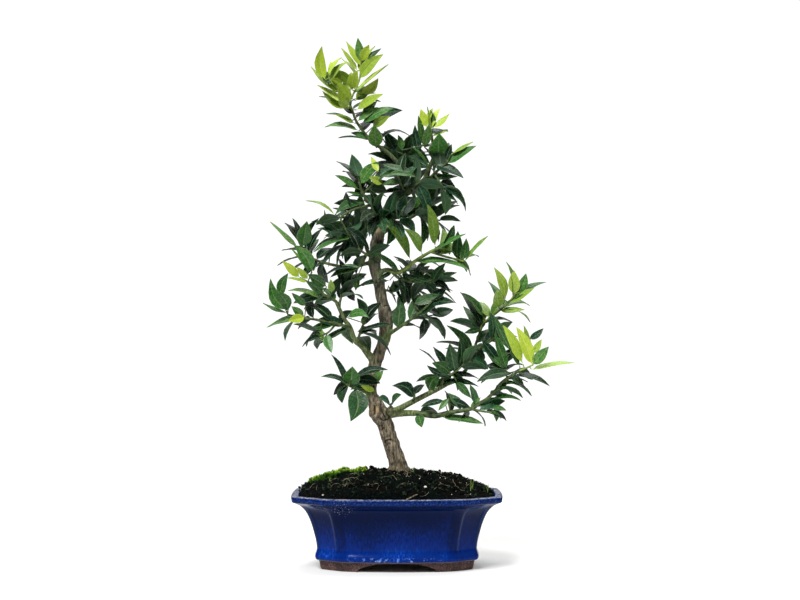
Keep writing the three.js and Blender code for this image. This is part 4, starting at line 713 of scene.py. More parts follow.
def pot_plan(inset, count):
    """The outline of the pot at an inset from the rim, about the pot's middle: (point, distance from the
    nearest ridge). The count has the spaces along a side, round a ridge, over a corner and along half a
    front, and the distances of the close stations beside a ridge."""
    side_spaces, ridge_spaces, corner_spaces, front_spaces, near_ridge = count
    half_length = RIM_HALF_LENGTH - inset
    half_depth = RIM_HALF_DEPTH - inset
    cut_x = CORNER_CUT_X - CORNER_SHRINK_X * inset
    cut_y = CORNER_CUT_Y - CORNER_SHRINK_Y * inset
    side_ridge = Vector((half_length, half_depth - cut_y))
    front_ridge = Vector((half_length - cut_x, half_depth))
    along = (front_ridge - side_ridge).normalized()
    rounding = min(RIDGE_ROUNDING, cut_x / 4)
    side_end = Vector((half_length, max(0.3, side_ridge.y - rounding)))
    corner_start = side_ridge + along * rounding
    corner_end = front_ridge - along * rounding
    front_x = front_ridge.x - rounding
    front_start = Vector((front_x, bowed_depth(front_x, front_ridge.x, half_depth)))

    def ridge(start, middle, end):
        shares = [k / ridge_spaces for k in range(1, ridge_spaces)]
        return [(start * (1 - t) ** 2 + middle * 2 * t * (1 - t) + end * t * t, 0) for t in shares]

    side = []
    for d in reversed(stations(side_end.y, near_ridge, side_spaces, False)):
        y = side_end.y - d
        side.append((Vector((half_length + SHORT_SIDE_BOW * (1 - (y / side_end.y) ** 2), y)), d + rounding))
    corner_length = (corner_end - corner_start).length
    corner = [(corner_start + along * d, min(d, corner_length - d) + rounding)
              for d in stations(corner_length, near_ridge, corner_spaces, True)]
    front = [(Vector((front_x - d, bowed_depth(front_x - d, front_ridge.x, half_depth))), d + rounding)
             for d in stations(front_x, near_ridge, front_spaces, False)]
    quarter = [*side, *ridge(side_end, side_ridge, corner_start), *corner,
               *ridge(corner_end, front_ridge, front_start), *front]
    half = [*quarter, *[(Vector((-p.x, p.y)), d) for p, d in quarter[-2:0:-1]]]
    return [*half, *[(Vector((-p.x, -p.y)), d) for p, d in half]]


FINE = (5, 5, 5, 14, (0, 0.9, 1.8, 2.7, 3.6, 4.8, 6.6, 9, 12))
PLAIN = (5, 3, 3, 14, (0, 4))
PANEL_LOW, PANEL_HIGH = 13, 61
PANEL_BORDER = 7
CORNER_BORDER = 4.2
PANEL_CORNER = 7
PANEL_RELIEF = 0.9
POT_CREASE = math.radians(38)

# How many points of the outside belong to the base roll, and the arches between the feet of the long and
# the short sides, as (half the width, half the crown)
BASE_ROLL = 8
LONG_ARCH = (37.8, 20)
SHORT_ARCH = (15, 8)


def panel_depth(from_ridge, height, border):
    """How far a place lies inside its sunk panel, which has rounded upper corners and runs out softly."""
    aside = from_ridge - border
    up = min((height - PANEL_LOW) / 4, PANEL_HIGH - height)
    if aside < PANEL_CORNER and PANEL_HIGH - height < PANEL_CORNER:
        return PANEL_CORNER - math.hypot(PANEL_CORNER - aside, PANEL_CORNER - (PANEL_HIGH - height))
    return min(aside, up)


def wrapped(profile, count, relief=0):
    """A band round the pot through the profile's (inset, height) points. Its panels lie back by the relief.
    The attribute border is 1 on the raised borders between them, and brink along a corner panel's edge."""
    rings, borders, brinks = [], [], []
    for inset, height in profile:
        plan = pot_plan(inset, count)
        ring, border, brink = [], [], []
        for index, (point, from_ridge) in enumerate(plan):
            before, after = plan[index - 1][0], plan[(index + 1) % len(plan)][0]
            inward = Vector((before.y - after.y, after.x - before.x)).normalized()
            corner = min(abs(inward.x), abs(inward.y)) > 0.35
            inside = panel_depth(from_ridge, height, CORNER_BORDER if corner else PANEL_BORDER)
            sunk = smooth_step(inside, -1, 1.4)
            ring.append(placed((*(point + inward * relief * sunk), height)))
            border.append(1 - sunk)
            brink.append(max(0, 1 - abs(inside + 0.8) / 2) if corner else 0)
        rings.append(ring)
        borders.append(border)
        brinks.append(brink)
    return band(rings, border=borders, brink=brinks)


def foot_arch(half_width, crown, turned):
    """The opening between two feet: an S-curve up from each foot to a flat crown."""
    shoulder = half_width - 0.19 * (half_width - crown) * 2
    side = catmull([(half_width, -1), (half_width - 0.3, 0.4), (half_width - 1.4, 2.2), (shoulder, 4.7),
                    ((shoulder + crown) / 2, 6.1), (crown, 7.6), (crown - 1, 8.1)], 3)
    outline = [*side, *((-x, z) for x, z in reversed(side))]
    cutter = band([[placed((y, x, z) if turned else (x, y, z)) for x, z in outline]
                   for y in (-RIM_HALF_LENGTH, RIM_HALF_LENGTH)])
    fill_openings(cutter)
    return cutter


def make_pot():
    wall = [tuple(p) for p in catmull(OUTSIDE[BASE_ROLL - 1:], 5)]
    roll = [tuple(p) for p in catmull(OUTSIDE[:BASE_ROLL], 2)]
    body = wrapped([*roll[:-1], *wall, *LIP, *INSIDE], FINE, relief=PANEL_RELIEF)
    fill_openings(body)
    top = BODY_UNDERSIDE + 0.5
    inner = FOOT_INSET + FOOT_THICKNESS
    outer = [(FOOT_INSET + 0.6, 0), (FOOT_INSET, 0.8), (FOOT_INSET - 0.8, 5), (FOOT_INSET - 1.5, top)]
    feet = wrapped([*outer, (inner, top), (inner, 0.8), (inner - 0.6, 0), outer[0]], PLAIN)
    close_seams(feet)
    boolean(feet, foot_arch(*LONG_ARCH, False), "DIFFERENCE")
    boolean(feet, foot_arch(*SHORT_ARCH, True), "DIFFERENCE")
    clear_selection()
    for sign in (-1, 1):
        bpy.ops.mesh.primitive_cylinder_add(vertices=40, radius=DRAIN_RADIUS * MM, depth=40 * MM,
                                            location=placed((sign * DRAIN_SPACING / 2, 0, FLOOR_TOP)))
        boolean(body, bpy.context.object, "DIFFERENCE")
    boolean(body, feet, "UNION")
    pot = settle(body, "pot_body", GLAZE, CLAY)
    for face in pot.data.polygons:
        x, y, z = (face.center - POT_MIDDLE) / MM
        floor = z < FLOOR_TOP + 0.3 and abs(x) < 50 and abs(y) < 30
        face.material_index = 1 if z < BODY_UNDERSIDE + 0.15 or floor else 0
    choose(pot)
    bpy.ops.object.shade_smooth_by_angle(angle=POT_CREASE)
    return pot


# Soil and what grows and lies on it

def mound_height(x, y):
    from_middle = x - MOUND_X
    across = from_middle / (MOUND_LEFT if from_middle < 0 else MOUND_RIGHT)
    reach = min(1, math.hypot(across, y / MOUND_DEPTH))
    lumps = 0.9 * math.sin(x / 6.1 + 0.7) * math.sin(y / 5.3 + 1.9) + 0.7 * math.sin(x / 3.7 - y / 4.9)
    return MOUND_EDGE_Z + MOUND_RISE * (1 - reach ** 3) + lumps * (1 - 0.6 * reach)


# The crumbs' sizes, as (width, level of the noise, height)
CRUMBS = [(9, 3.1, 1.8), (3.1, 7.7, 1.9), (1.3, 1.3, 0.8)]


def crumbly(x, y):
    """The mound's height with its crumbs."""
    height = mound_height(x, y)
    for width, level, rise in CRUMBS:
        height += noise.noise((x / width, y / width, level)) * rise
    return height


# The soil's count as pot_plan takes it, its underside, its height at the rim and the rings over its top
SOIL_COUNT = (14, 3, 14, 26, (0,))
SOIL_FLOOR = FLOOR_TOP + 0.35
SOIL_EDGE = 71.6
SOIL_RINGS = 54


def make_soil():
    """The mound: rings up the pot's inside, and then ever smaller ones in over the crumbly top."""
    floor, low, middle = INSIDE[3], INSIDE[2], INSIDE[1]
    sides = [(floor[0] + 0.5, SOIL_FLOOR), (low[0] + 0.5, low[1]), (middle[0] + 0.5, middle[1]),
             (9.6, 67), (8.6, 70)]
    tops = [(8.2, 1), (9.2, 1), (10.2, 1), *((11.2, 1 - k / SOIL_RINGS) for k in range(SOIL_RINGS))]
    rings = [[placed((*p, height)) for p, _ in pot_plan(inset, SOIL_COUNT)] for inset, height in sides]
    for inset, size in tops:
        plan = [p * size for p, _ in pot_plan(inset, SOIL_COUNT)]
        edge = smooth_step(inset, 8, 11)
        rings.append([placed((p.x, p.y, SOIL_EDGE * (1 - edge) + crumbly(p.x, p.y) * edge)) for p in plan])
    soil = band(rings)
    fill_openings(soil)
    bpy.ops.object.shade_smooth()
    return settle(soil, "soil_mound", SOIL)


def slope_turn(x, y, spin, lean=0.0):
    """A turn that stands a thing upright on the mound at x, y, spun about its own axis."""
    dx = (mound_height(x + 1, y) - mound_height(x - 1, y)) / 2
    dy = (mound_height(x, y + 1) - mound_height(x, y - 1)) / 2
    normal = Vector((-dx * 0.6, -dy * 0.6, 1)).normalized()
    tilt = Vector((0, 0, 1)).rotation_difference(normal).to_matrix()
    return tilt @ Matrix.Rotation(spin, 3, "Z") @ Matrix.Rotation(lean, 3, "X")


GOLDEN_ANGLE = math.pi * (3 - math.sqrt(5))


def moss_tuft(shoots, reach, seed):
    """A cushion of short shoots that lean outwards, each a slim three-sided spike."""
    draw = random.Random(seed)
    spikes = []
    for k in range(shoots):
        clear_selection()
        height = reach * draw.uniform(0.65, 1.1)
        bpy.ops.mesh.primitive_cone_add(vertices=3, radius1=reach * 0.2, radius2=0, depth=height,
                                        location=(0, 0, height / 2), end_fill_type="TRIFAN")
        spike = bpy.context.object
        set_attribute(spike.data, "tip", "POINT", [0.0 if v.co.z < 0 else 1.0 for v in spike.data.vertices])
        bpy.ops.object.transform_apply(location=True, rotation=False, scale=False)
        out = 0.25 + 0.75 * math.sqrt(k / shoots)
        spike.rotation_euler = (out * draw.uniform(0.5, 0.95), 0, 0)
        bpy.ops.object.transform_apply(location=False, rotation=True, scale=False)
        spike.rotation_euler = (0, 0, k * GOLDEN_ANGLE)
        spike.location = (draw.uniform(-0.3, 0.3) * reach, draw.uniform(-0.3, 0.3) * reach, -0.15 * reach)
        bpy.ops.object.transform_apply(location=True, rotation=True, scale=False)
        spikes.append(spike)
    return joined(spikes)


def scatter(name, pattern, places, material, seed):
    """Copies of a pattern, each with its own mesh, at places (x, y, z, size, tone) on the mound."""
    draw = random.Random(seed)
    base = mesh_arrays(pattern.data)
    copies = []
    for x, y, z, size, tone in places:
        turn = np.array(slope_turn(x, y, draw.uniform(0, 2 * math.pi), draw.uniform(-0.35, 0.35)))
        copies.append((base["points"] @ turn.T * size + np.array(placed((x, y, z))), tone))
    made = stacked(name, base, [c[0] for c in copies], {"tone": [c[1] for c in copies]})
    bpy.data.objects.remove(pattern, do_unlink=True)
    return settle(made, name, material)


def mesh_arrays(mesh):
    """What a copy needs of a pattern's mesh, as arrays."""
    points = np.empty(len(mesh.vertices) * 3)
    mesh.vertices.foreach_get("co", points)
    loops = np.empty(len(mesh.loops), int)
    mesh.loops.foreach_get("vertex_index", loops)
    starts = np.array([face.loop_start for face in mesh.polygons])
    uv = None
    if mesh.uv_layers:
        uv = np.empty(len(mesh.loops) * 2)
        mesh.uv_layers[0].data.foreach_get("uv", uv)
    layers = {}
    for layer in mesh.attributes:
        if layer.data_type == "FLOAT" and layer.domain in ("POINT", "FACE"):
            values = np.empty(len(layer.data), np.float32)
            layer.data.foreach_get("value", values)
            layers[layer.name] = (layer.domain, values)
    sharp = [tuple(sorted(edge.vertices)) for edge in mesh.edges if edge.use_edge_sharp]
    return {"points": points.reshape(-1, 3), "loops": loops, "starts": starts, "uv": uv, "layers": layers,
            "sharp": sharp}


def stacked(name, base, copies, per_copy):
    """One object of many copies of a pattern, each copy with its own value in each named attribute."""
    count = len(base["points"])
    mesh = bpy.data.meshes.new(name)
    mesh.vertices.add(count * len(copies))
    mesh.vertices.foreach_set("co", np.concatenate(copies).ravel())
    corner_count = len(base["loops"])
    mesh.loops.add(corner_count * len(copies))
    shifts = np.arange(len(copies))[:, None]
    mesh.loops.foreach_set("vertex_index", (base["loops"][None, :] + shifts * count).ravel())
    mesh.polygons.add(len(base["starts"]) * len(copies))
    mesh.polygons.foreach_set("loop_start", (base["starts"][None, :] + shifts * corner_count).ravel())
    mesh.update(calc_edges=True)
    for layer, (domain, values) in base["layers"].items():
        set_attribute(mesh, layer, domain, np.tile(values, len(copies)))
    for layer, values in per_copy.items():
        set_attribute(mesh, layer, "POINT", np.repeat(values, count))
    if base["uv"] is not None:
        mesh.uv_layers.new(name="UVMap").data.foreach_set("uv", np.tile(base["uv"], len(copies)))
    if base["sharp"]:
        wanted = {(a + k * count, b + k * count) for k in range(len(copies)) for a, b in base["sharp"]}
        for edge in mesh.edges:
            edge.use_edge_sharp = tuple(sorted(edge.vertices)) in wanted
    mesh.polygons.foreach_set("use_smooth", np.ones(len(mesh.polygons), bool))
    made = bpy.data.objects.new(name, mesh)
    bpy.context.collection.objects.link(made)
    return made


def inside_rim(x, y, margin):
    """Whether a place lies inside the pot's rim by a margin."""
    plan = [p for p, _ in pot_plan(margin, (2, 1, 1, 3, (0, 2)))]
    for a, b in zip(plan, [*plan[1:], plan[0]]):
        if (b.x - a.x) * (y - a.y) - (b.y - a.y) * (x - a.x) < 0:
            return False
    return True


# How much grows and lies on the soil, and how far that keeps from the trunk
DARK_TUFTS = 1500
BRIGHT_TUFTS = 520
CLODS = 120
STRAWS = 110
GRAINS = 34
TRUNK_CLEARANCE = 13

# The bright moss cushions, as (middle x and y, reach along x and y, raggedness, lump width, noise level)
CUSHIONS = [(-65, 6, 21, 27, 0.4, 8, 4.4), (-38, 2, 8, 12, 0.3, 6, 8.4)]

# What stands out there: a bit of stick on the front rim, pale grains (x, y, radius), and the grass sprigs'
# feet (x, y, height)
STICK = [(9, -71.5, 71.5), (13, -70.5, 73.2), (17, -68.5, 75.2), (19.5, -67, 75.8)]
PALE_GRAINS = [(26.8, -52, 1.3), (-69.5, -50, 0.9), (-91, 14, 0.9), (-93, 4, 1.1), (-92, -8, 0.8)]
SPRIGS = [(72, -34, 12), (70, -36, 9), (87, -20, 10), (16, -12, 9), (-64, -30, 7)]


def make_moss():
    """Dark moss over the whole mound, and a bright cushion of it along the left end's crest."""
    draw = random.Random(311)
    dark, bright = [], []
    while len(dark) < DARK_TUFTS:
        x, y = draw.uniform(-97, 97), draw.uniform(-70, 70)
        margin = 6.5 if draw.random() < 0.25 else 9
        bare = noise.noise((x / 16, y / 16, 9.2)) > 0.24 or math.hypot(x - 2, y) < TRUNK_CLEARANCE + 2
        if inside_rim(x, y, margin) and not bare:
            dark.append((x, y, max(71, crumbly(x, y)) - 0.3, draw.uniform(0.7, 1.35), draw.random()))
    while len(bright) < BRIGHT_TUFTS:
        x, y = draw.uniform(-92, -22), draw.uniform(-34, 46)
        on_cushion = any(
            math.hypot((x - middle_x) / reach_x, (y - middle_y) / reach_y)
            + ragged * noise.noise((x / lump, y / lump, level)) < 1
            for middle_x, middle_y, reach_x, reach_y, ragged, lump, level in CUSHIONS)
        if inside_rim(x, y, 9.5) and on_cushion:
            front = smooth_step(y, -24, 10)
            bright.append((x, y, crumbly(x, y) + 0.4, draw.uniform(0.8, 1.7), front * draw.uniform(0.2, 1)))
    dark_moss = scatter("dark_moss", moss_tuft(7, 0.0021, 5), dark, MOSS_DARK, 17)
    bright_moss = scatter("bright_moss", moss_tuft(9, 0.0026, 6), bright, MOSS_BRIGHT, 18)
    return [dark_moss, bright_moss]


def make_clods():
    """Loose dark clods of peat that break the mound's skyline."""
    draw = random.Random(23)
    clods = []
    while len(clods) < CLODS:
        x, y, size = draw.uniform(-92, 94), draw.uniform(-62, 62), draw.uniform(0.9, 2.6)
        if inside_rim(x, y, 12) and math.hypot(x - 2, y) >= TRUNK_CLEARANCE:
            clods.append(pebble(x, y, crumbly(x, y) + 0.2 * size, size, 0.7, 420))
    return settle(joined(clods), "peat_clods", SOIL)


def strand(points, radius):
    """A thin strand through points (x, y, z) about the pot, tapering to its end."""
    run = catmull(points, 3)
    return tube([(placed(point), radius * MM * (1 - 0.5 * k / len(run))) for k, point in enumerate(run)], 4)


def make_litter():
    """Dry straw and rootlets over the soil, and crumbs of pale grit."""
    draw = random.Random(97)
    straws = []
    for _ in range(STRAWS):
        x, y = draw.uniform(-86, 88), draw.uniform(-62, 30)
        if not inside_rim(x, y, 12):
            continue
        heading, bend = draw.uniform(0, 2 * math.pi), draw.uniform(-0.5, 0.5)
        length = draw.uniform(4, 13)
        points = []
        for step in range(4):
            points.append((x, y, crumbly(x, y) + 0.7 + 1.1 * math.sin(step) * draw.random()))
            x += math.cos(heading) * length / 3
            y += math.sin(heading) * length / 3
            heading += bend
        straws.append(strand(points, draw.uniform(0.16, 0.36)))
    straws.append(strand(STICK, 0.75))
    litter = settle(joined(straws), "straw", STRAW)
    spots = PALE_GRAINS + [
        (draw.uniform(-84, 88), draw.uniform(-60, 20), draw.uniform(0.25, 0.55)) for _ in range(GRAINS)]
    grains = [pebble(x, y, max(71.2, crumbly(x, y)) + 0.3 * size, size, 0.5, 900)
              for x, y, size in spots if inside_rim(x, y, 6)]
    grit = settle(joined(grains), "grit", GRIT)
    return [litter, grit]


def make_sprigs():
    """A few living grass sprigs that stand up from the moss."""
    draw = random.Random(55)
    blades = []
    for x, y, height in SPRIGS:
        for _ in range(3):
            lean_x, lean_y = draw.uniform(-0.35, 0.35), draw.uniform(-0.3, 0.3)
            tall = height * draw.uniform(0.6, 1)
            foot = crumbly(x, y) - 0.5
            blades.append(strand([(x + lean_x * tall * s * s, y + lean_y * tall * s * s, foot + tall * s)
                                  for s in (0, 0.35, 0.7, 1)], 0.32))
    sprigs = settle(joined(blades), "grass_sprigs", SHOOT)
    set_attribute(sprigs.data, "age", "POINT", [0.6] * len(sprigs.data.vertices))
    return sprigs


# Wood

BARK_VOXEL = 0.8 * MM
ROOTS = 6
ROOT_TURN = 1.13


def grown_run(points, steps):
    """A smooth run through seen points (x, depth, z, radius), as (place, radius in millimetres)."""
    run = catmull([(*seen(x, y, z), radius) for x, y, z, radius in points], steps)
    return [(placed(stop[:3]), stop[3]) for stop in run]


def rod(points, sides, steps=4):
    """A round rod through seen points (x, depth, z, radius)."""
    return tube([(place, radius * MM) for place, radius in grown_run(points, steps)], sides)


def make_wood():
    """The root flare, trunk and branches: rods and knots fused by a voxel remesh, then roughened as bark."""
    rods = [rod(TRUNK, 16)]
    rods += [rod(points, 12) for points in BRANCHES.values()]
    rods += [rod(twigs[0][:2], 10) for twigs in TWIGS.values()]
    rods.append(rod(BURR, 12))
    for k in range(ROOTS):
        angle = k * ROOT_TURN + 0.4
        reach = 15 + 3 * math.sin(k * 2.3)
        rods.append(rod([(1.5, 1, 99, 4), (1.8 + 7 * math.cos(angle), 1 + 7 * math.sin(angle), 92.5, 4.4),
                         (2 + reach * math.cos(angle), 1 + reach * math.sin(angle), 85, 3)], 10))
    for x, y, z, radius in KNOBS:
        clear_selection()
        bpy.ops.mesh.primitive_ico_sphere_add(subdivisions=3, radius=radius * MM,
                                              location=placed(seen(x, y, z)))
        rods.append(bpy.context.object)
    clear_selection()
    bpy.ops.mesh.primitive_torus_add(major_radius=3.3 * MM, minor_radius=1.7 * MM, major_segments=24,
                                     minor_segments=12, rotation=(math.pi / 2, 0, 0), location=placed(LIPS))
    bpy.context.object.scale = (1, 1.7, 1)
    rods.append(bpy.context.object)
    wood = settle(joined(rods), "tree_wood", BARK)
    apply_modifier(wood, "REMESH", mode="VOXEL", voxel_size=BARK_VOXEL)
    apply_modifier(wood, "SMOOTH", factor=0.5, iterations=3)
    roughen(wood)
    choose(wood)
    bpy.ops.object.shade_smooth()
    return wood


# The middle of the healed lips round a pruning cut (x, y, z), and what the front view shows: clefts and
# scars as (x, z) points and how far each reaches, and healed patches as (x, z, reach)
LIPS = (-21.5, -13, 150.5)
SCARS = [
    ([(-21.6, 154.5), (-21.3, 150.5), (-21.8, 147)], 1.1), ([(-15.5, 156), (-14.5, 150), (-11.5, 144)], 1.2),
    ([(-9.5, 155), (-10.5, 148), (-7, 142.5)], 1.1), ([(-17.5, 143), (-13, 140.3), (-8, 141.5)], 0.9),
    ([(-12, 118.6), (-10.6, 121), (-6, 121.8), (-2.2, 120.4)], 0.8),
    ([(-9.5, 116.5), (-7.5, 118.6), (-6.2, 117.4)], 0.6),
    ([(-3.5, 229.5), (-1.5, 227.5), (-3, 225)], 1.1), ([(-13.5, 251), (-9, 251.6)], 0.6),
    ([(-27, 172), (-22, 173.5)], 0.7), ([(-15, 131), (-12.5, 133.6)], 0.6),
]
HEALED = [(-21.5, 150.5, 5.2), (-18, 325, 4), (-28.5, 147.5, 3.6), (-8, 211, 3)]

# The wood's radius where smooth young bark turns to old, and how deep the bark's relief goes
YOUNG_TO_OLD = (3.2, 4.6)
FISSURE_DEPTH = 0.95
LUMP_HEIGHT = 1
SCAR_DEPTH = 0.9


def distance_to(path, x, z):
    """How far a seen point lies from a path of (x, z) points."""
    best = math.inf
    for (ax, az), (bx, bz) in zip(path, path[1:]):
        dx, dz = bx - ax, bz - az
        share = min(1, max(0, ((x - ax) * dx + (z - az) * dz) / (dx * dx + dz * dz)))
        best = min(best, math.hypot(x - ax - share * dx, z - az - share * dz))
    return best


def roughen(wood):
    """Fissures, lumps and scars over the old wood, and attributes for its colours."""
    samples = [stop for points in (TRUNK, *BRANCHES.values()) for stop in grown_run(points, 6)]
    tree = kdtree.KDTree(len(samples))
    for index, (point, _) in enumerate(samples):
        tree.insert(point, index)
    tree.balance()
    youth, crease, callus, places = [], [], [], []
    normals = [normal.vector.copy() for normal in wood.data.vertex_normals]
    for vertex, normal in zip(wood.data.vertices, normals):
        axis, index, _ = tree.find(vertex.co)
        radius = samples[index][1]
        young = 1 - smooth_step(radius, *YOUNG_TO_OLD)
        place = (vertex.co - POT_MIDDLE) / MM
        spot = as_seen(vertex.co)
        front = 1 if vertex.co.y < axis.y else 0
        cut = front * max(
            1 - smooth_step(distance_to(path, *spot), 0.35 * reach, reach) for path, reach in SCARS)
        healed = max(1 - smooth_step(math.dist(spot, (x, z)), 0.5 * reach, reach) for x, z, reach in HEALED)
        fissure = noise.noise((place.x / 1.4, place.y / 1.4, place.z / 7))
        lump = noise.noise((place.x / 4.5, place.y / 4.5, place.z / 7 + 20))
        rough = (1 - young) * min(1, radius / 6)
        deep = -FISSURE_DEPTH * max(0, -fissure) + 0.2 * fissure + LUMP_HEIGHT * lump
        relief = deep * rough + 0.12 * fissure * (1 - rough) - SCAR_DEPTH * cut
        places.extend(vertex.co + normal * relief * MM)
        youth.append(young)
        # Clefts and scars, which the bark's colour darkens with painted shade
        crease.append(0.9 * cut)
        callus.append(healed * front * 0.7)
    wood.data.vertices.foreach_set("co", places)
    set_attribute(wood.data, "youth", "POINT", youth)
    set_attribute(wood.data, "crease", "POINT", crease)
    set_attribute(wood.data, "callus", "POINT", callus)


# Leaves

# The shares of a leaf's length where its rows of points lie, its columns above and below, its thickness in
# millimetres, the stalk's width as a share of the blade's, and, of a CAD leaf, where its two sections lie
# and how wide the inner one is
LEAF_ROWS = [0, 0.07, 0.13, 0.24, 0.38, 0.54, 0.7, 0.84, 0.94, 1]
UPPER_COLUMNS = 4
UNDER_COLUMNS = 2
LEAF_THICKNESS = 0.5
STALK_SHARE = 0.15
STATIONS = (0.3, 0.66)
INNER_WIDTH = 0.94


def blade_share(s):
    """How wide the blade is at a share of its length: oval, drawn out to a point, on a short stalk."""
    if s in (0, 1):
        return 0.0
    oval = math.sin(math.pi * s ** 0.82) ** 0.8 * (1 - 0.35 * s ** 5)
    return max(STALK_SHARE, oval * smooth_step(s, 0.05, 0.16)) if s < 0.5 else oval


def across_at(column):
    """From -1 to 1 over the blade's upper side, and back over its underside."""
    if column <= UPPER_COLUMNS:
        return column / UPPER_COLUMNS * 2 - 1
    return 1 - (column - UPPER_COLUMNS) / UNDER_COLUMNS * 2


def leaf_pattern():
    """One flat leaf, a unit long and a unit to each side, with a low keel: every leaf is a bent copy."""
    columns = UPPER_COLUMNS + UNDER_COLUMNS
    rows = len(LEAF_ROWS) - 1

    def place(column, row):
        s = LEAF_ROWS[row]
        keel = -1 if UPPER_COLUMNS < column < columns and 0 < row < rows else 0
        return Vector((across_at(column) * blade_share(s), s, keel))

    leaf = sheet_of(columns, rows, place)
    for corner in leaf.data.uv_layers[0].data:
        corner.uv = ((across_at(round(corner.uv.x * columns)) + 1) / 2, LEAF_ROWS[round(corner.uv.y * rows)])
    set_attribute(leaf.data, "under", "FACE", [
        1.0 if face.index % columns >= UPPER_COLUMNS else 0.0 for face in leaf.data.polygons])
    choose(leaf)
    bpy.ops.object.mode_set(mode="EDIT")
    bpy.ops.mesh.select_all(action="SELECT")
    bpy.ops.mesh.remove_doubles(threshold=0.0001)
    bpy.ops.object.mode_set(mode="OBJECT")
    for edge in leaf.data.edges:
        ends = [leaf.data.vertices[k].co for k in edge.vertices]
        top = all(p.z > -0.5 for p in ends)
        rib = all(abs(p.x) < 1e-4 for p in ends)
        rim = all(abs(abs(p.x) - blade_share(p.y)) < 1e-3 for p in ends)
        edge.use_edge_sharp = top and (rib or rim)
    return leaf


def mesh_neighbours(node):
    """The welded points of a CAD node and the neighbours of each."""
    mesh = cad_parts[node].data
    points, index_of, welded = [], {}, []
    for vertex in mesh.vertices:
        key = tuple(round(c * 2e5) for c in vertex.co)
        if key not in index_of:
            index_of[key] = len(points)
            points.append(vertex.co.copy())
        welded.append(index_of[key])
    near = [set() for _ in points]
    mesh.calc_loop_triangles()
    for triangle in mesh.loop_triangles:
        corners = {welded[k] for k in triangle.vertices}
        for corner in corners:
            near[corner] |= corners - {corner}
    return points, near


def section(points, ring):
    """The width, edge ends and keel of a blade's three-cornered section. The keel faces its longest side."""
    a, b, c = [points[k] for k in ring]
    options = [((a - b).length, a, b, c), ((b - c).length, b, c, a), ((c - a).length, c, a, b)]
    return max(options, key=lambda option: option[0])


def frame_leaves(node):
    """Each leaf of a CAD spray. Its tip has three neighbours and they have three more: its two sections."""
    points, near = mesh_neighbours(node)
    leaves = []
    for tip, ring in enumerate(near):
        if len(ring) != 3 or any(len(near[k] & ring) != 2 for k in ring):
            continue
        if (points[tip] - sum((points[k] for k in ring), Vector()) / 3).length < 3 * MM:
            continue
        inner = set().union(*(near[k] for k in ring)) - ring - {tip}
        if len(inner) != 3:
            continue
        _, left, right, keel = section(points, ring)
        inner_width, inner_left, inner_right, inner_keel = section(points, inner)
        outer_middle = ((left + right) / 2 + keel) / 2
        inner_middle = ((inner_left + inner_right) / 2 + inner_keel) / 2
        s, t = STATIONS
        system = np.array([[(1 - s) ** 2, 2 * s * (1 - s)], [(1 - t) ** 2, 2 * t * (1 - t)]])
        known = np.array([inner_middle - points[tip] * s * s, outer_middle - points[tip] * t * t])
        root, bend = (Vector(v) for v in np.linalg.solve(system, known))
        up = (left + right) / 2 - keel
        across = (right - left).normalized()
        if across.cross(points[tip] - root).dot(up) < 0:
            across = -across
        leaves.append({"root": root, "bend": bend, "tip": points[tip].copy(), "across": across,
                       "half": inner_width / 2 / INNER_WIDTH})
    return leaves


def bent_leaf(base, leaf, draw):
    """The pattern's points laid along a leaf's own curve, folded along the midrib, with waved margins."""
    across_share, s, thick = base["points"].T
    root, bend, tip = (np.array(leaf[k]) for k in ("root", "bend", "tip"))
    across = np.array(leaf["across"])
    length = np.linalg.norm(tip - root)
    middle = ((1 - s) ** 2)[:, None] * root + (2 * s * (1 - s))[:, None] * bend + (s ** 2)[:, None] * tip
    tangent = (1 - s)[:, None] * (bend - root) + s[:, None] * (tip - bend)
    tangent /= np.linalg.norm(tangent, axis=1)[:, None]
    normal = np.cross(across, tangent)
    normal /= np.linalg.norm(normal, axis=1)[:, None]
    twist = draw.uniform(-0.35, 0.35) * (s - 0.3)
    side = np.cos(twist)[:, None] * across + np.sin(twist)[:, None] * normal
    normal = np.cross(side, tangent)
    normal /= np.linalg.norm(normal, axis=1)[:, None]
    fold = draw.uniform(0.16, 0.34)
    wave = draw.uniform(0.03, 0.09) * np.sin(s * draw.uniform(7, 11) + draw.uniform(0, 6.3))
    curl = draw.uniform(-0.02, 0.07) * np.clip((s - 0.6) / 0.4, 0, 1) ** 2 * length
    reach = np.abs(across_share)
    lift = fold * reach - 0.12 * reach ** 2 + wave * across_share * (reach > 0.2) - fold / 2
    lift = leaf["half"] * lift * np.clip(s * 8, 0, 1) - curl * np.clip(1 - s, 0, 1) * 2
    return (middle + side * (across_share * leaf["half"] * (1 - 0.1 * fold))[:, None]
            + normal * (lift + thick * LEAF_THICKNESS * MM)[:, None])


def face_direction(along, shoot):
    wanted = shoot * 0.8 + Vector((0, 0, 1))
    face = wanted - along * wanted.dot(along)
    return Vector((0, -1, 0)) if face.length < 0.05 else face.normalized()
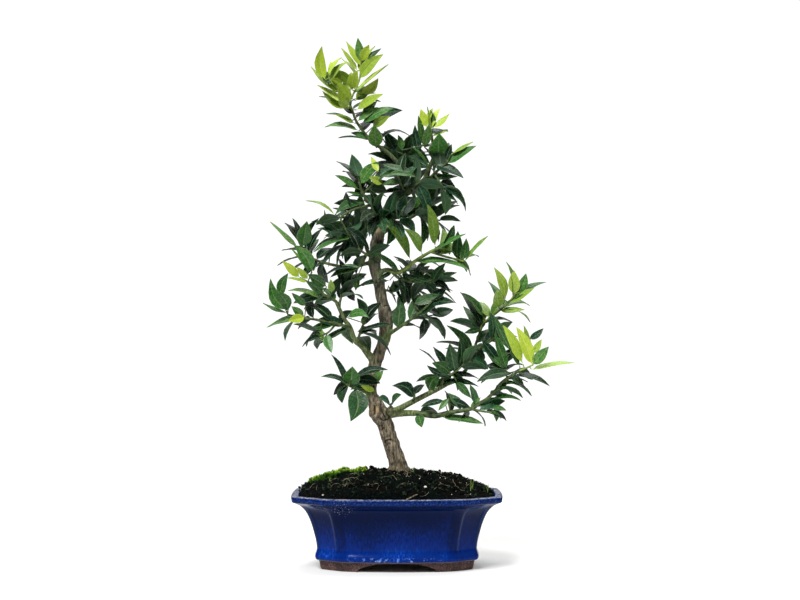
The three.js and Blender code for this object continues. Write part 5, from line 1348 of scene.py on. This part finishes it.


# The leaves that stand out in the front view, listed spray by spray, in millimetres as seen there: the
# foot's x and z, the tip's x and z, half the width, the bow to the left of the way to the tip, the age from 0
# to 1, and by how many layers the tip stands behind the foot
SHOWN = {
    "spray_top_young": [
        (-35, 488, -38, 511, 4, 0, 0.45, 0), (-34, 488, -27, 504, 4.4, 0, 1, -1),
        (-34, 486, -15, 501, 3.3, 0, 0.25, 0), (-36, 471, -13, 495, 5.4, 3, 0.8, -1),
        (-42, 459, -8, 487, 3, 0, 0.85, -1), (-36, 483, -49, 508, 3.5, 0, 0.95, 0),
        (-38, 479, -54, 502, 2.7, 0, 0.85, 0), (-43, 460, -38, 479, 5, 2, 0.95, -2),
        (-64, 466, -46, 488, 3.3, 5, 0.75, 0), (-44, 463, -61, 480, 4.5, -2, 0.75, -1),
        (-45, 448, -57, 467, 6.3, 0, 0.9, -2), (-69, 470, -72, 503, 5.1, 4, 1, -1),
        (-65, 466, -73, 482, 3.5, 0, 0.4, 1), (-59, 459, -83, 484, 3, 1.5, 0.8, 0),
        (-50, 448, -77, 466, 3.7, 0, 0.9, -1), (-50, 442, -72, 460, 3.6, 2, 0.85, 0),
        (-52, 466, -64, 472, 2.5, 0, 0.95, -2), (-33, 489, -21, 504, 2.1, 0, 0.7, 1),
        (-50, 455, -44, 478, 5, 0, 0.85, 1), (-40, 450, -24, 466, 4.5, 0, 0.8, 1),
        (-60, 462, -58, 484, 5, 0, 0.75, 1), (-36, 478, -30, 497, 4.5, 0, 0.85, 1),
        (-55, 458, -68, 470, 4, 0, 0.85, 0), (-48, 442, -56, 456, 4.5, 0, 0.8, 0),
        (-35, 457, -18, 472, 4.5, -3, 0.85, 0), (-39, 441, -13, 457, 4.2, 1.5, 0.85, -1),
    ],
    "spray_top": [
        (-34, 428, -3, 443, 4.8, 3, 0.5, -1), (-30, 428, 6, 441, 6.3, 3.5, 0.1, 1),
        (-24, 424, -7, 435, 4, 1, 0.75, -2), (-38, 430, -18, 444, 3.5, 1.5, 0.5, 0),
        (-43, 431, -69, 438, 1.7, -2, 0.4, 0), (-41, 428, -60, 437, 2.7, -1, 0.65, -1),
        (-37, 421, -71, 425, 3.9, -4, 0.45, 0), (-20, 404, -22, 426, 6.6, 0, 0.45, -1),
        (-34, 439, -19, 450, 3.1, -1, 0.25, 1), (-50, 451, -76, 455, 1, 0, 0.2, 2),
        (-43, 437, -54, 447, 2.6, 0, 0.1, 1), (-40, 452, -20, 458, 1.7, 1, 0.25, 1),
        (-19, 410, 15, 415, 2.2, 9, 0.1, 1), (-26, 414, -45, 419, 3, -1, 0.4, 0),
    ],
    "spray_apex": [
        (26, 406, 21, 436, 3.5, 0, 0.45, -1), (26, 405, 31, 428, 4, -1, 0.4, -2),
        (40, 390, 41, 418, 9.5, 0, 0.5, -2), (35, 423, 32, 441, 2.5, -1.5, 0.3, 1),
        (22, 400, 18, 427, 4.2, 1.5, 0.1, 1), (-1, 401, -12, 421, 4.8, 0, 0.1, 0),
        (5, 402, 1, 417, 3, -1, 0.4, 0),
    ],
    "spray_apex_young": [
        (29, 424, 23, 442, 4, 0, 1, 0), (34, 422, 30, 445, 1.6, 0, 0.8, 1),
        (35, 424, 51, 438, 3, -1, 0.95, 0), (33, 415, 50, 421, 1.8, 1, 0.7, 0),
    ],
    "spray_crown_right": [
        (47, 390, 77, 407, 4.5, 1, 0.5, -1), (52, 398, 74, 411, 2.1, 0, 0.7, 0),
        (36, 388, 65, 375, 4.6, 2.5, 0.1, -2), (34, 375, 59, 377, 3.4, 0, 0.2, -1),
        (32, 386, 14, 407, 1.6, -1, 0.45, -2), (47, 393, 53, 408, 3.2, 0, 0.1, 0),
    ],
    "spray_crown_front": [
        (15, 381, -14, 389, 3.4, 0, 0.25, -1), (1, 381, -16, 377, 3.5, 0, 0.3, 0),
        (19, 376, -8, 379, 3, -2.5, 0.35, -2), (17, 358, 1, 335, 7.3, -2, 0.1, -2),
        (14, 345, 24, 359, 3.5, 0, 0.5, -2),
    ],
    "spray_upper_left": [
        (-35, 369, -17, 391, 5.3, 2.5, 0.5, -1), (-18, 381, -25, 396, 2.9, 0, 0.95, 1),
        (-13, 370, -27, 376, 3.7, 0, 0.8, 0), (-37, 364, -60, 378, 3.5, -1.5, 0.4, -1),
        (-35, 359, -49, 362, 1.8, 0, 0.4, -1), (-31, 361, -6, 371, 4.4, 3, 0.15, 0),
        (-30, 351, -60, 340, 4.1, -5, 0.3, -2),
    ],
    "spray_left_hanging": [
        (-60, 340, -89, 354, 1.8, -3.5, 0.7, -1), (-43, 318, -82, 304, 3.5, -2.5, 0.4, -1),
        (-43, 317, -50, 292, 4.8, 0, 0.02, 0), (-39, 315, -57, 304, 4.8, 0, 0.02, 0),
        (-50, 312, -75, 285, 3.5, -4, 0.04, -1), (-46, 319, -72, 316, 1.9, -6, 0.02, 0),
    ],
    "spray_left_upper": [(-91, 309, -87, 333, 6.8, 0, 0.5, -1), (-95, 307, -123, 334, 2.5, 0, 0.55, 0)],
    "spray_left_mid": [
        (-82, 284, -99, 310, 6, -3, 0.5, -2), (-82, 286, -102, 308, 1.8, 1, 0.6, -1),
        (-94, 279, -111, 295, 3.7, 0, 1, -2), (-86, 277, -97, 289, 2.9, 0, 0.85, -1),
        (-85, 276, -106, 279, 2, 0, 0.8, -2), (-73, 259, -106, 267, 2.6, -3, 0.55, -2),
        (-71, 261, -88, 275, 3.9, -1, 0.3, -2), (-68, 270, -86, 282, 5.3, 0, 0.25, -1),
        (-63, 264, -64, 277, 3.1, 0, 0.65, -1),
    ],
    "spray_front_mid": [
        (-35, 289, -65, 279, 4.1, -3, 0.3, 0), (-38, 280, -40, 266, 2.7, 0, 0.3, 0),
        (-37, 288, -71, 281, 1.4, -4, 0.02, 0),
    ],
    "spray_trunk_right": [
        (-8, 271, 0, 254, 1.3, 0, 0.04, 0), (-3, 276, 10, 246, 1.5, -1, 0.04, 0),
        (2, 277, 11, 252, 1.9, 1.5, 0.04, 0),
    ],
    "spray_left_low": [
        (-106, 247, -122, 278, 5, 5, 0.5, -2), (-112, 260, -105, 283, 4.4, 3, 0.3, 0),
        (-105, 246, -117, 265, 5.3, -3, 0.35, -2), (-106, 245, -130, 255, 1.8, 1.5, 0.35, 0),
        (-90, 242, -127, 231, 3.5, -1.5, 0.4, 0), (-89, 241, -105, 237, 4.2, 0, 1, -2),
        (-90, 241, -102, 251, 3.4, 0, 0.4, -1), (-88, 251, -102, 264, 3.1, 0, 0.35, -1),
        (-74, 230, -71, 217, 3.3, -1.5, 0.6, 0), (-67, 224, -63, 206, 4.4, -1, 0.45, -1),
        (-57, 236, -85, 229, 3.4, 0, 0.25, -1), (-50, 233, -79, 237, 4.4, -3, 0.1, -2),
        (-48, 230, -76, 215, 3.5, 0, 0.15, -2),
    ],
    "spray_mid_left": [(-48, 240, -27, 240, 3.9, 5, 0.5, -2), (-38, 227, -5, 234, 2.9, 1.5, 0.1, -3)],
    "spray_right_upper": [
        (13, 296, -10, 330, 4.7, -5, 0.6, -5), (24, 302, 7, 326, 4.5, -4, 0.6, -4),
        (37, 309, 30, 350, 5.8, -2, 0.65, -4), (3, 284, -23, 303, 3.4, -1.5, 0.3, -4),
        (32, 304, 67, 322, 2.5, 1, 0.5, -1), (59, 296, 59, 324, 4.8, 0, 0.2, 0),
        (63, 294, 67, 317, 3.9, -1.5, 0.3, 0), (65, 294, 88, 320, 2, 1, 0.6, 0),
        (17, 293, 72, 286, 4.8, 5.5, 0.5, -2),
    ],
    "spray_right_mid": [
        (-7, 276, -39, 270, 2.9, -2, 0.06, -1), (33, 273, 47, 293, 3.9, 1, 0.2, -1),
        (6, 283, 34, 275, 2.9, -1.5, 0.15, -2), (-5, 284, -19, 276, 2.3, 0, 0.15, -2),
        (5, 284, 39, 284, 1.5, 3, 0.08, 0),
    ],
    "spray_right_low": [
        (1, 228, 4, 256, 6.3, 0, 0.25, -1), (14, 243, 42, 257, 3.9, -1.5, 0.15, -1),
        (16, 253, 44, 262, 4.4, 1, 0.2, 0),
    ],
    "spray_low_left": [
        (-45, 174, -43, 192, 7.7, 0, 0.4, 0), (-30, 176, -13, 189, 4.4, -1.5, 0.5, 0),
        (-21, 169, -35, 174, 2.7, 0, 0.85, -2), (-43, 179, -8, 190, 3.5, 4.5, 0.1, -1),
        (-45, 174, -74, 183, 2.7, -4.5, 0.1, -1), (-41, 172, -45, 140, 9.2, 5.5, 0.2, -2),
        (-25, 174, -45, 170, 3.9, -3, 0.2, -1),
    ],
    "spray_lower_inner": [(17, 161, -5, 174, 5.3, -6, 0.1, 0)],
    "spray_lower_a_tip": [
        (105, 257, 94, 289, 4.6, -3, 0.75, 0), (99, 249, 97, 267, 5.1, 0, 0.7, -2),
        (114, 262, 113, 286, 5.4, 0, 0.8, -1), (118, 264, 125, 283, 4.4, -1, 0.45, 0),
        (109, 255, 133, 269, 3.8, 0, 0.7, -1), (99, 247, 124, 248, 3.2, 0, 0.7, -1),
        (84, 240, 61, 265, 3.9, -3.5, 0.35, -1), (84, 234, 113, 236, 1.6, 4.5, 0.15, 0),
    ],
    "spray_lower_a_mid": [
        (71, 210, 48, 233, 3.7, -2.5, 0.3, -1), (75, 207, 63, 227, 2.9, 0, 0.25, -1),
        (81, 230, 65, 225, 2.9, 0, 0.2, -2),
    ],
    "spray_lower_a": [
        (56, 188, 51, 215, 6.3, 0, 0.15, -1), (52, 185, 34, 196, 5.3, -2.5, 0.3, -1),
        (51, 183, 29, 194, 3.4, 2.5, 0.1, 0), (31, 168, 42, 183, 5.8, 4, 0.3, -1),
        (58, 178, 72, 162, 3.5, 0, 0.3, -1),
    ],
    "spray_lower_b_tip": [
        (112, 207, 94, 243, 4.4, 1, 0.25, 1), (107, 190, 95, 225, 4.8, 0, 0.35, -1),
        (101, 196, 82, 219, 4.5, 0, 0.05, -1), (106, 190, 83, 212, 3.3, 0, 0.3, 0),
        (119, 193, 108, 215, 3.1, 0, 0.35, 0), (111, 187, 77, 178, 4.8, -3, 0.15, -2),
        (110, 185, 149, 174, 2.3, 4, 0.1, 0),
    ],
    "spray_lower_young": [
        (122, 195, 103, 233, 4.5, -1.5, 0.9, -1), (131, 195, 116, 231, 6, -1.5, 1, -2),
        (130, 209, 123, 233, 2.7, 0, 0.7, 0), (132, 205, 140, 219, 3.1, 0, 0.8, -1),
        (132, 193, 147, 212, 4.8, 0, 0.45, -1), (128, 219, 142, 230, 3.1, -1, 0.1, 1),
        (130, 190, 172, 198, 1.7, 1, 0.7, 1),
    ],
    "spray_lower_b": [
        (97, 168, 109, 183, 2.9, 0, 0.35, 0), (100, 175, 120, 174, 1.7, 3, 0.2, 0),
        (90, 160, 121, 160, 1.9, 4, 0.25, 0), (92, 152, 106, 150, 2.5, 1.5, 0.35, -1),
        (93, 150, 96, 139, 2.4, 2, 0.3, 0), (49, 160, 72, 152, 3.9, 1, 0.1, 0),
        (46, 160, 23, 154, 2.9, -1, 0.1, -1), (21, 147, 24, 134, 4.4, 0, 0.35, -1),
        (43, 144, 84, 138, 3.7, 1.5, 0.35, -1), (71, 150, 81, 163, 2.4, 0, 0.4, 0),
        (50, 162, 40, 150, 2.5, 0, 0.4, -1),
    ],
}

# One layer's depth, half a leaf's width as a share of its length, how much fuller a leaf is made than the
# list says, the radius of a side shoot, and how near a CAD leaf gives way to a listed one
LAYER = 6
SLENDERNESS = 0.18
FULLNESS = 1.12
SHOOT_RADIUS = 0.55
SAME_LEAF = 15

# How far a short leaf may lean to the front and how far a narrow one may turn on edge, how near the twig a
# foot is set on it, and the length seen, as a share of the whole, below which a leaf is turned aside
MOST_LEAN = 14
MOST_TILT = 1.25
ON_TWIG = 1.5
END_ON = 0.4


def shown_leaf(run, row, draw):
    """A leaf where the front view shows one. A narrow one stands on edge, and a short broad one leans out."""
    x, z, tip_x, tip_z, half, bow, age, layer = row
    twig = min(run, key=lambda point: math.dist(as_seen(point), (x, z)))
    depth = (twig.y - POT_MIDDLE.y) / MM
    length = math.dist((x, z), (tip_x, tip_z))
    lean = min(MOST_LEAN, math.sqrt(max(0, 0.6 * (half / SLENDERNESS) ** 2 - length ** 2)))
    near_twig = math.dist(as_seen(twig), (x, z)) < ON_TWIG
    root = twig.copy() if near_twig else placed(seen(x, depth, z))
    tip = placed(seen(tip_x, depth + layer * LAYER - lean, tip_z))
    along = (tip - root).normalized()
    across = along.cross(Vector((0, 1, 0))).normalized()
    left = Vector((-along.z, 0, along.x)).normalized()
    broad = max(half, SLENDERNESS * 0.9 * length)
    tilt = min(MOST_TILT, math.acos(half / broad) + draw.uniform(0, 0.2))
    front = across.cross(along)
    front = -front if front.y > 0 else front
    upward = across if across.z > 0 else -across
    if abs(across.z) < 0.35:
        upward = draw.choice((across, -across))
    face = front * math.cos(tilt) + upward * math.sin(tilt)
    return {"root": root, "tip": tip, "bend": (root + tip) / 2 + left * 2 * bow * MM,
            "across": along.cross(face).normalized(), "half": FULLNESS * broad * MM, "age": age, "twig": twig}


def shown_leaves(node, grown, draw):
    """The leaves that stand out in front, and the CAD leaves that none of them takes the place of: these grow
    away from the front, so that they don't hide them."""
    run = [place for twig in TWIGS[node] for place, _ in grown_run(twig, 8)]
    shown = [shown_leaf(run, row, draw) for row in SHOWN.get(node, [])]
    kept = list(grown)
    for leaf in shown:
        def apart(other):
            return sum(share * math.dist(as_seen(other[end]), as_seen(leaf[end]))
                       for end, share in (("tip", 1), ("root", 0.4)))

        nearest = min(kept, key=apart)
        if apart(nearest) < SAME_LEAF:
            kept.remove(nearest)
    for leaf in kept if shown else []:
        if leaf["tip"].y < leaf["root"].y:
            for end in ("bend", "tip"):
                leaf[end].y = 2 * leaf["root"].y - leaf[end].y
            leaf["across"] = Vector((-leaf["across"].x, leaf["across"].y, -leaf["across"].z))
        length = (leaf["tip"] - leaf["root"]).length
        if math.dist(as_seen(leaf["tip"]), as_seen(leaf["root"])) * MM < END_ON * length:
            leaf["tip"] += leaf["across"] * 0.6 * length
            leaf["bend"] += leaf["across"] * 0.25 * length
            along = leaf["tip"] - leaf["root"]
            leaf["across"] = -leaf["across"].cross(along).cross(along).normalized()
    return shown, kept


# A spray's leaf (length, width), how far from the others' middles a new leaf's tip and its own middle keep,
# and how many times a place is tried
LEAF_SIZE = {"leaf_mature": (37, 13.5), "leaf_green": (35, 12.5), "leaf_young": (30, 11)}
TIP_SPACING = 19 * MM
BLADE_SPACING = 6 * MM
TRIES = 16


def extra_leaves(node, grown, draw):
    """More leaves, a little smaller, along the twigs, where a spray has room among its own leaves."""
    low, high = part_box(node)
    length, width = LEAF_SIZE[SLOT_OF[node]]
    tips = [as_seen(leaf["tip"]) for leaf in grown]
    left, right = min(t[0] for t in tips) + 1, max(t[0] for t in tips) - 1
    under, over = min(t[1] for t in tips) + 1, max(t[1] for t in tips) - 1
    middles = [leaf["root"].lerp(leaf["tip"], 0.65) for leaf in grown]
    made = []
    for twig_index, twig in enumerate(TWIGS[node]):
        run = [place for place, _ in grown_run(twig, 4)]
        for k in range(4 if twig_index == 0 else 2, len(run) - 1):
            root = run[k]
            shoot = (run[k + 1] - run[k - 1]).normalized()
            side = shoot.orthogonal().normalized()
            for _ in range(TRIES):
                out = Matrix.Rotation(draw.uniform(0, 2 * math.pi), 3, shoot) @ side
                along = (out + shoot * draw.uniform(0.4, 1.2)).normalized()
                along = (along - Vector((0, 0, 0.1))).normalized()
                size = draw.uniform(0.68, 0.98)
                tip = root + along * length * size * MM
                x, z = as_seen(tip)
                inside = left < x < right and under < z < over and all(
                    low[i] < tip[i] < high[i] for i in range(3))
                room = min((tip - m).length for m in middles) > TIP_SPACING * size
                clear = min((root.lerp(tip, 0.6) - m).length for m in middles) > BLADE_SPACING
                if inside and room and clear:
                    face = face_direction(along, shoot)
                    bow = draw.uniform(0.14, 0.4) * length * size * MM
                    made.append({"root": root, "tip": tip, "bend": (root + tip) / 2 + face * bow,
                                 "across": along.cross(face).normalized(),
                                 "half": width / 2 * draw.uniform(0.85, 1.05) * size * MM})
                    middles.append(root.lerp(tip, 0.65))
                    break
    return made


SPRAY_AGE = {"leaf_mature": 0.06, "leaf_green": 0.5, "leaf_young": 0.92}
LISTED_TONES = (0.4, 0.66)
YOUNG_TONES = (0.4, 0.8)


def leaf_age(node, leaf, draw):
    if "age" in leaf:
        return leaf["age"]
    age = SPRAY_AGE[SLOT_OF[node]] + draw.uniform(-0.08, 0.12)
    if node == "spray_top_young":
        age -= 0.35 * smooth_step(as_seen(leaf["tip"])[1], 490, 462)
    return min(1, max(0, age))


def side_shoot(leaf):
    """A thin shoot from the twig to the foot of a leaf that stands off it."""
    stops = []
    for point in (leaf["twig"], leaf["root"]):
        x, z = as_seen(point)
        stops.append((x, (point.y - POT_MIDDLE.y) / MM, z, SHOOT_RADIUS))
    return rod(stops, 6, 3)


def make_spray(node, base, seed):
    """A spray's leaves, each a bent copy of the pattern, on its twigs and side shoots."""
    draw = random.Random(seed)
    shown, kept = shown_leaves(node, frame_leaves(node), draw)
    leaves = shown + kept
    if not shown:
        leaves += extra_leaves(node, leaves, draw)
    ages = [leaf_age(node, leaf, draw) for leaf in leaves]
    own_tones = YOUNG_TONES if SLOT_OF[node] == "leaf_young" else (0, 1)
    tones = [draw.uniform(*(LISTED_TONES if "age" in leaf else own_tones)) for leaf in leaves]
    shapes = [bent_leaf(base, leaf, draw) for leaf in leaves]
    blades = stacked(node + "_leaves", base, shapes, {"age": ages, "tone": tones})
    blades.data.materials.append(LEAF)
    blades.data.materials.append(SHOOT)
    stems = [rod(points, 8) for points in TWIGS[node]]
    stems += [side_shoot(leaf) for leaf in shown if (leaf["root"] - leaf["twig"]).length > 2 * MM]
    for stem in stems:
        set_attribute(stem.data, "age", "POINT", [SPRAY_AGE[SLOT_OF[node]]] * len(stem.data.vertices))
        stem.data.materials.append(SHOOT)
        choose(stem)
        bpy.ops.object.shade_smooth_by_angle(angle=math.radians(50))
    return settle(joined([blades, *stems]), node + "_leaves")


# Building it all

def make_all():
    pot = make_pot()
    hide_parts("pot")
    soil = make_soil()
    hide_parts("soil")
    ground = [soil, *make_moss(), make_clods(), *make_litter(), make_sprigs()]
    wood = make_wood()
    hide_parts("trunk")
    pattern = leaf_pattern()
    base = mesh_arrays(pattern.data)
    bpy.data.objects.remove(pattern, do_unlink=True)
    sprays = []
    for index, node in enumerate(TWIGS):
        spray = make_spray(node, base, 1000 + index)
        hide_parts(node)
        sprays.append(spray)
    for piece in (pot, *ground, wood, *sprays):
        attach(piece, "root")
    for name in ("drain_screen_1", "drain_screen_2"):
        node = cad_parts[name]
        for slot in node.material_slots:
            slot.material = MESH_PLASTIC


def studio_world():
    """White all round for the eye, and for the light a soft glow from overhead, dimmer at eye level."""
    world = bpy.data.worlds.new("studio")
    world.use_nodes = True
    tree = world.node_tree
    up = add(tree, "SeparateXYZ", {"Vector": add(tree, "TexCoord", out="Generated")}, out="Z")
    glow = add(tree, "MapRange", {
        "Value": up, "From Min": 0.05, "From Max": 0.9, "To Min": 0.06, "To Max": 0.72})
    shown = add(tree, "LightPath", out="Is Camera Ray")
    background = tree.nodes["Background"]
    background.inputs["Color"].default_value = (1, 1, 1, 1)
    strength = add(tree, "Mix", {"Factor": shown, "A": glow, "B": 1.1})
    tree.links.new(strength, background.inputs["Strength"])
    bpy.context.scene.world = world


def sun(name, source, strength, angle):
    """A soft lamp so far off that it lights the whole floor alike."""
    data = bpy.data.lights.new(name, "SUN")
    data.energy = strength
    data.angle = math.radians(angle)
    lamp = bpy.data.objects.new(name, data)
    lamp.rotation_euler = (-Vector(source)).to_track_quat("-Z", "Y").to_euler()
    bpy.context.collection.objects.link(lamp)


def make_room():
    """A pale floor under soft lamps, with the camera at the photo's angle."""
    clear_selection()
    bpy.ops.mesh.primitive_circle_add(vertices=64, radius=0.62, fill_type="NGON", location=(0, 0, -0.0002))
    floor = settle(bpy.context.object, "floor", FLOOR)
    sun("key", (-0.4, -0.8, 1.1), 3.4, 24)
    sun("top", (0.25, 0.35, 1), 1.8, 50)
    studio_world()
    camera = bpy.data.cameras.new("camera")
    camera.lens = LENS_MM
    camera.sensor_width = SENSOR_MM
    camera.clip_end = 100
    eye = bpy.data.objects.new("camera", camera)
    eye.location = placed(EYE)
    eye.rotation_euler = (math.pi / 2, 0, 0)
    bpy.context.collection.objects.link(eye)
    bpy.context.scene.camera = eye
    bpy.context.scene.view_settings.view_transform = "Standard"


make_room()
make_all()
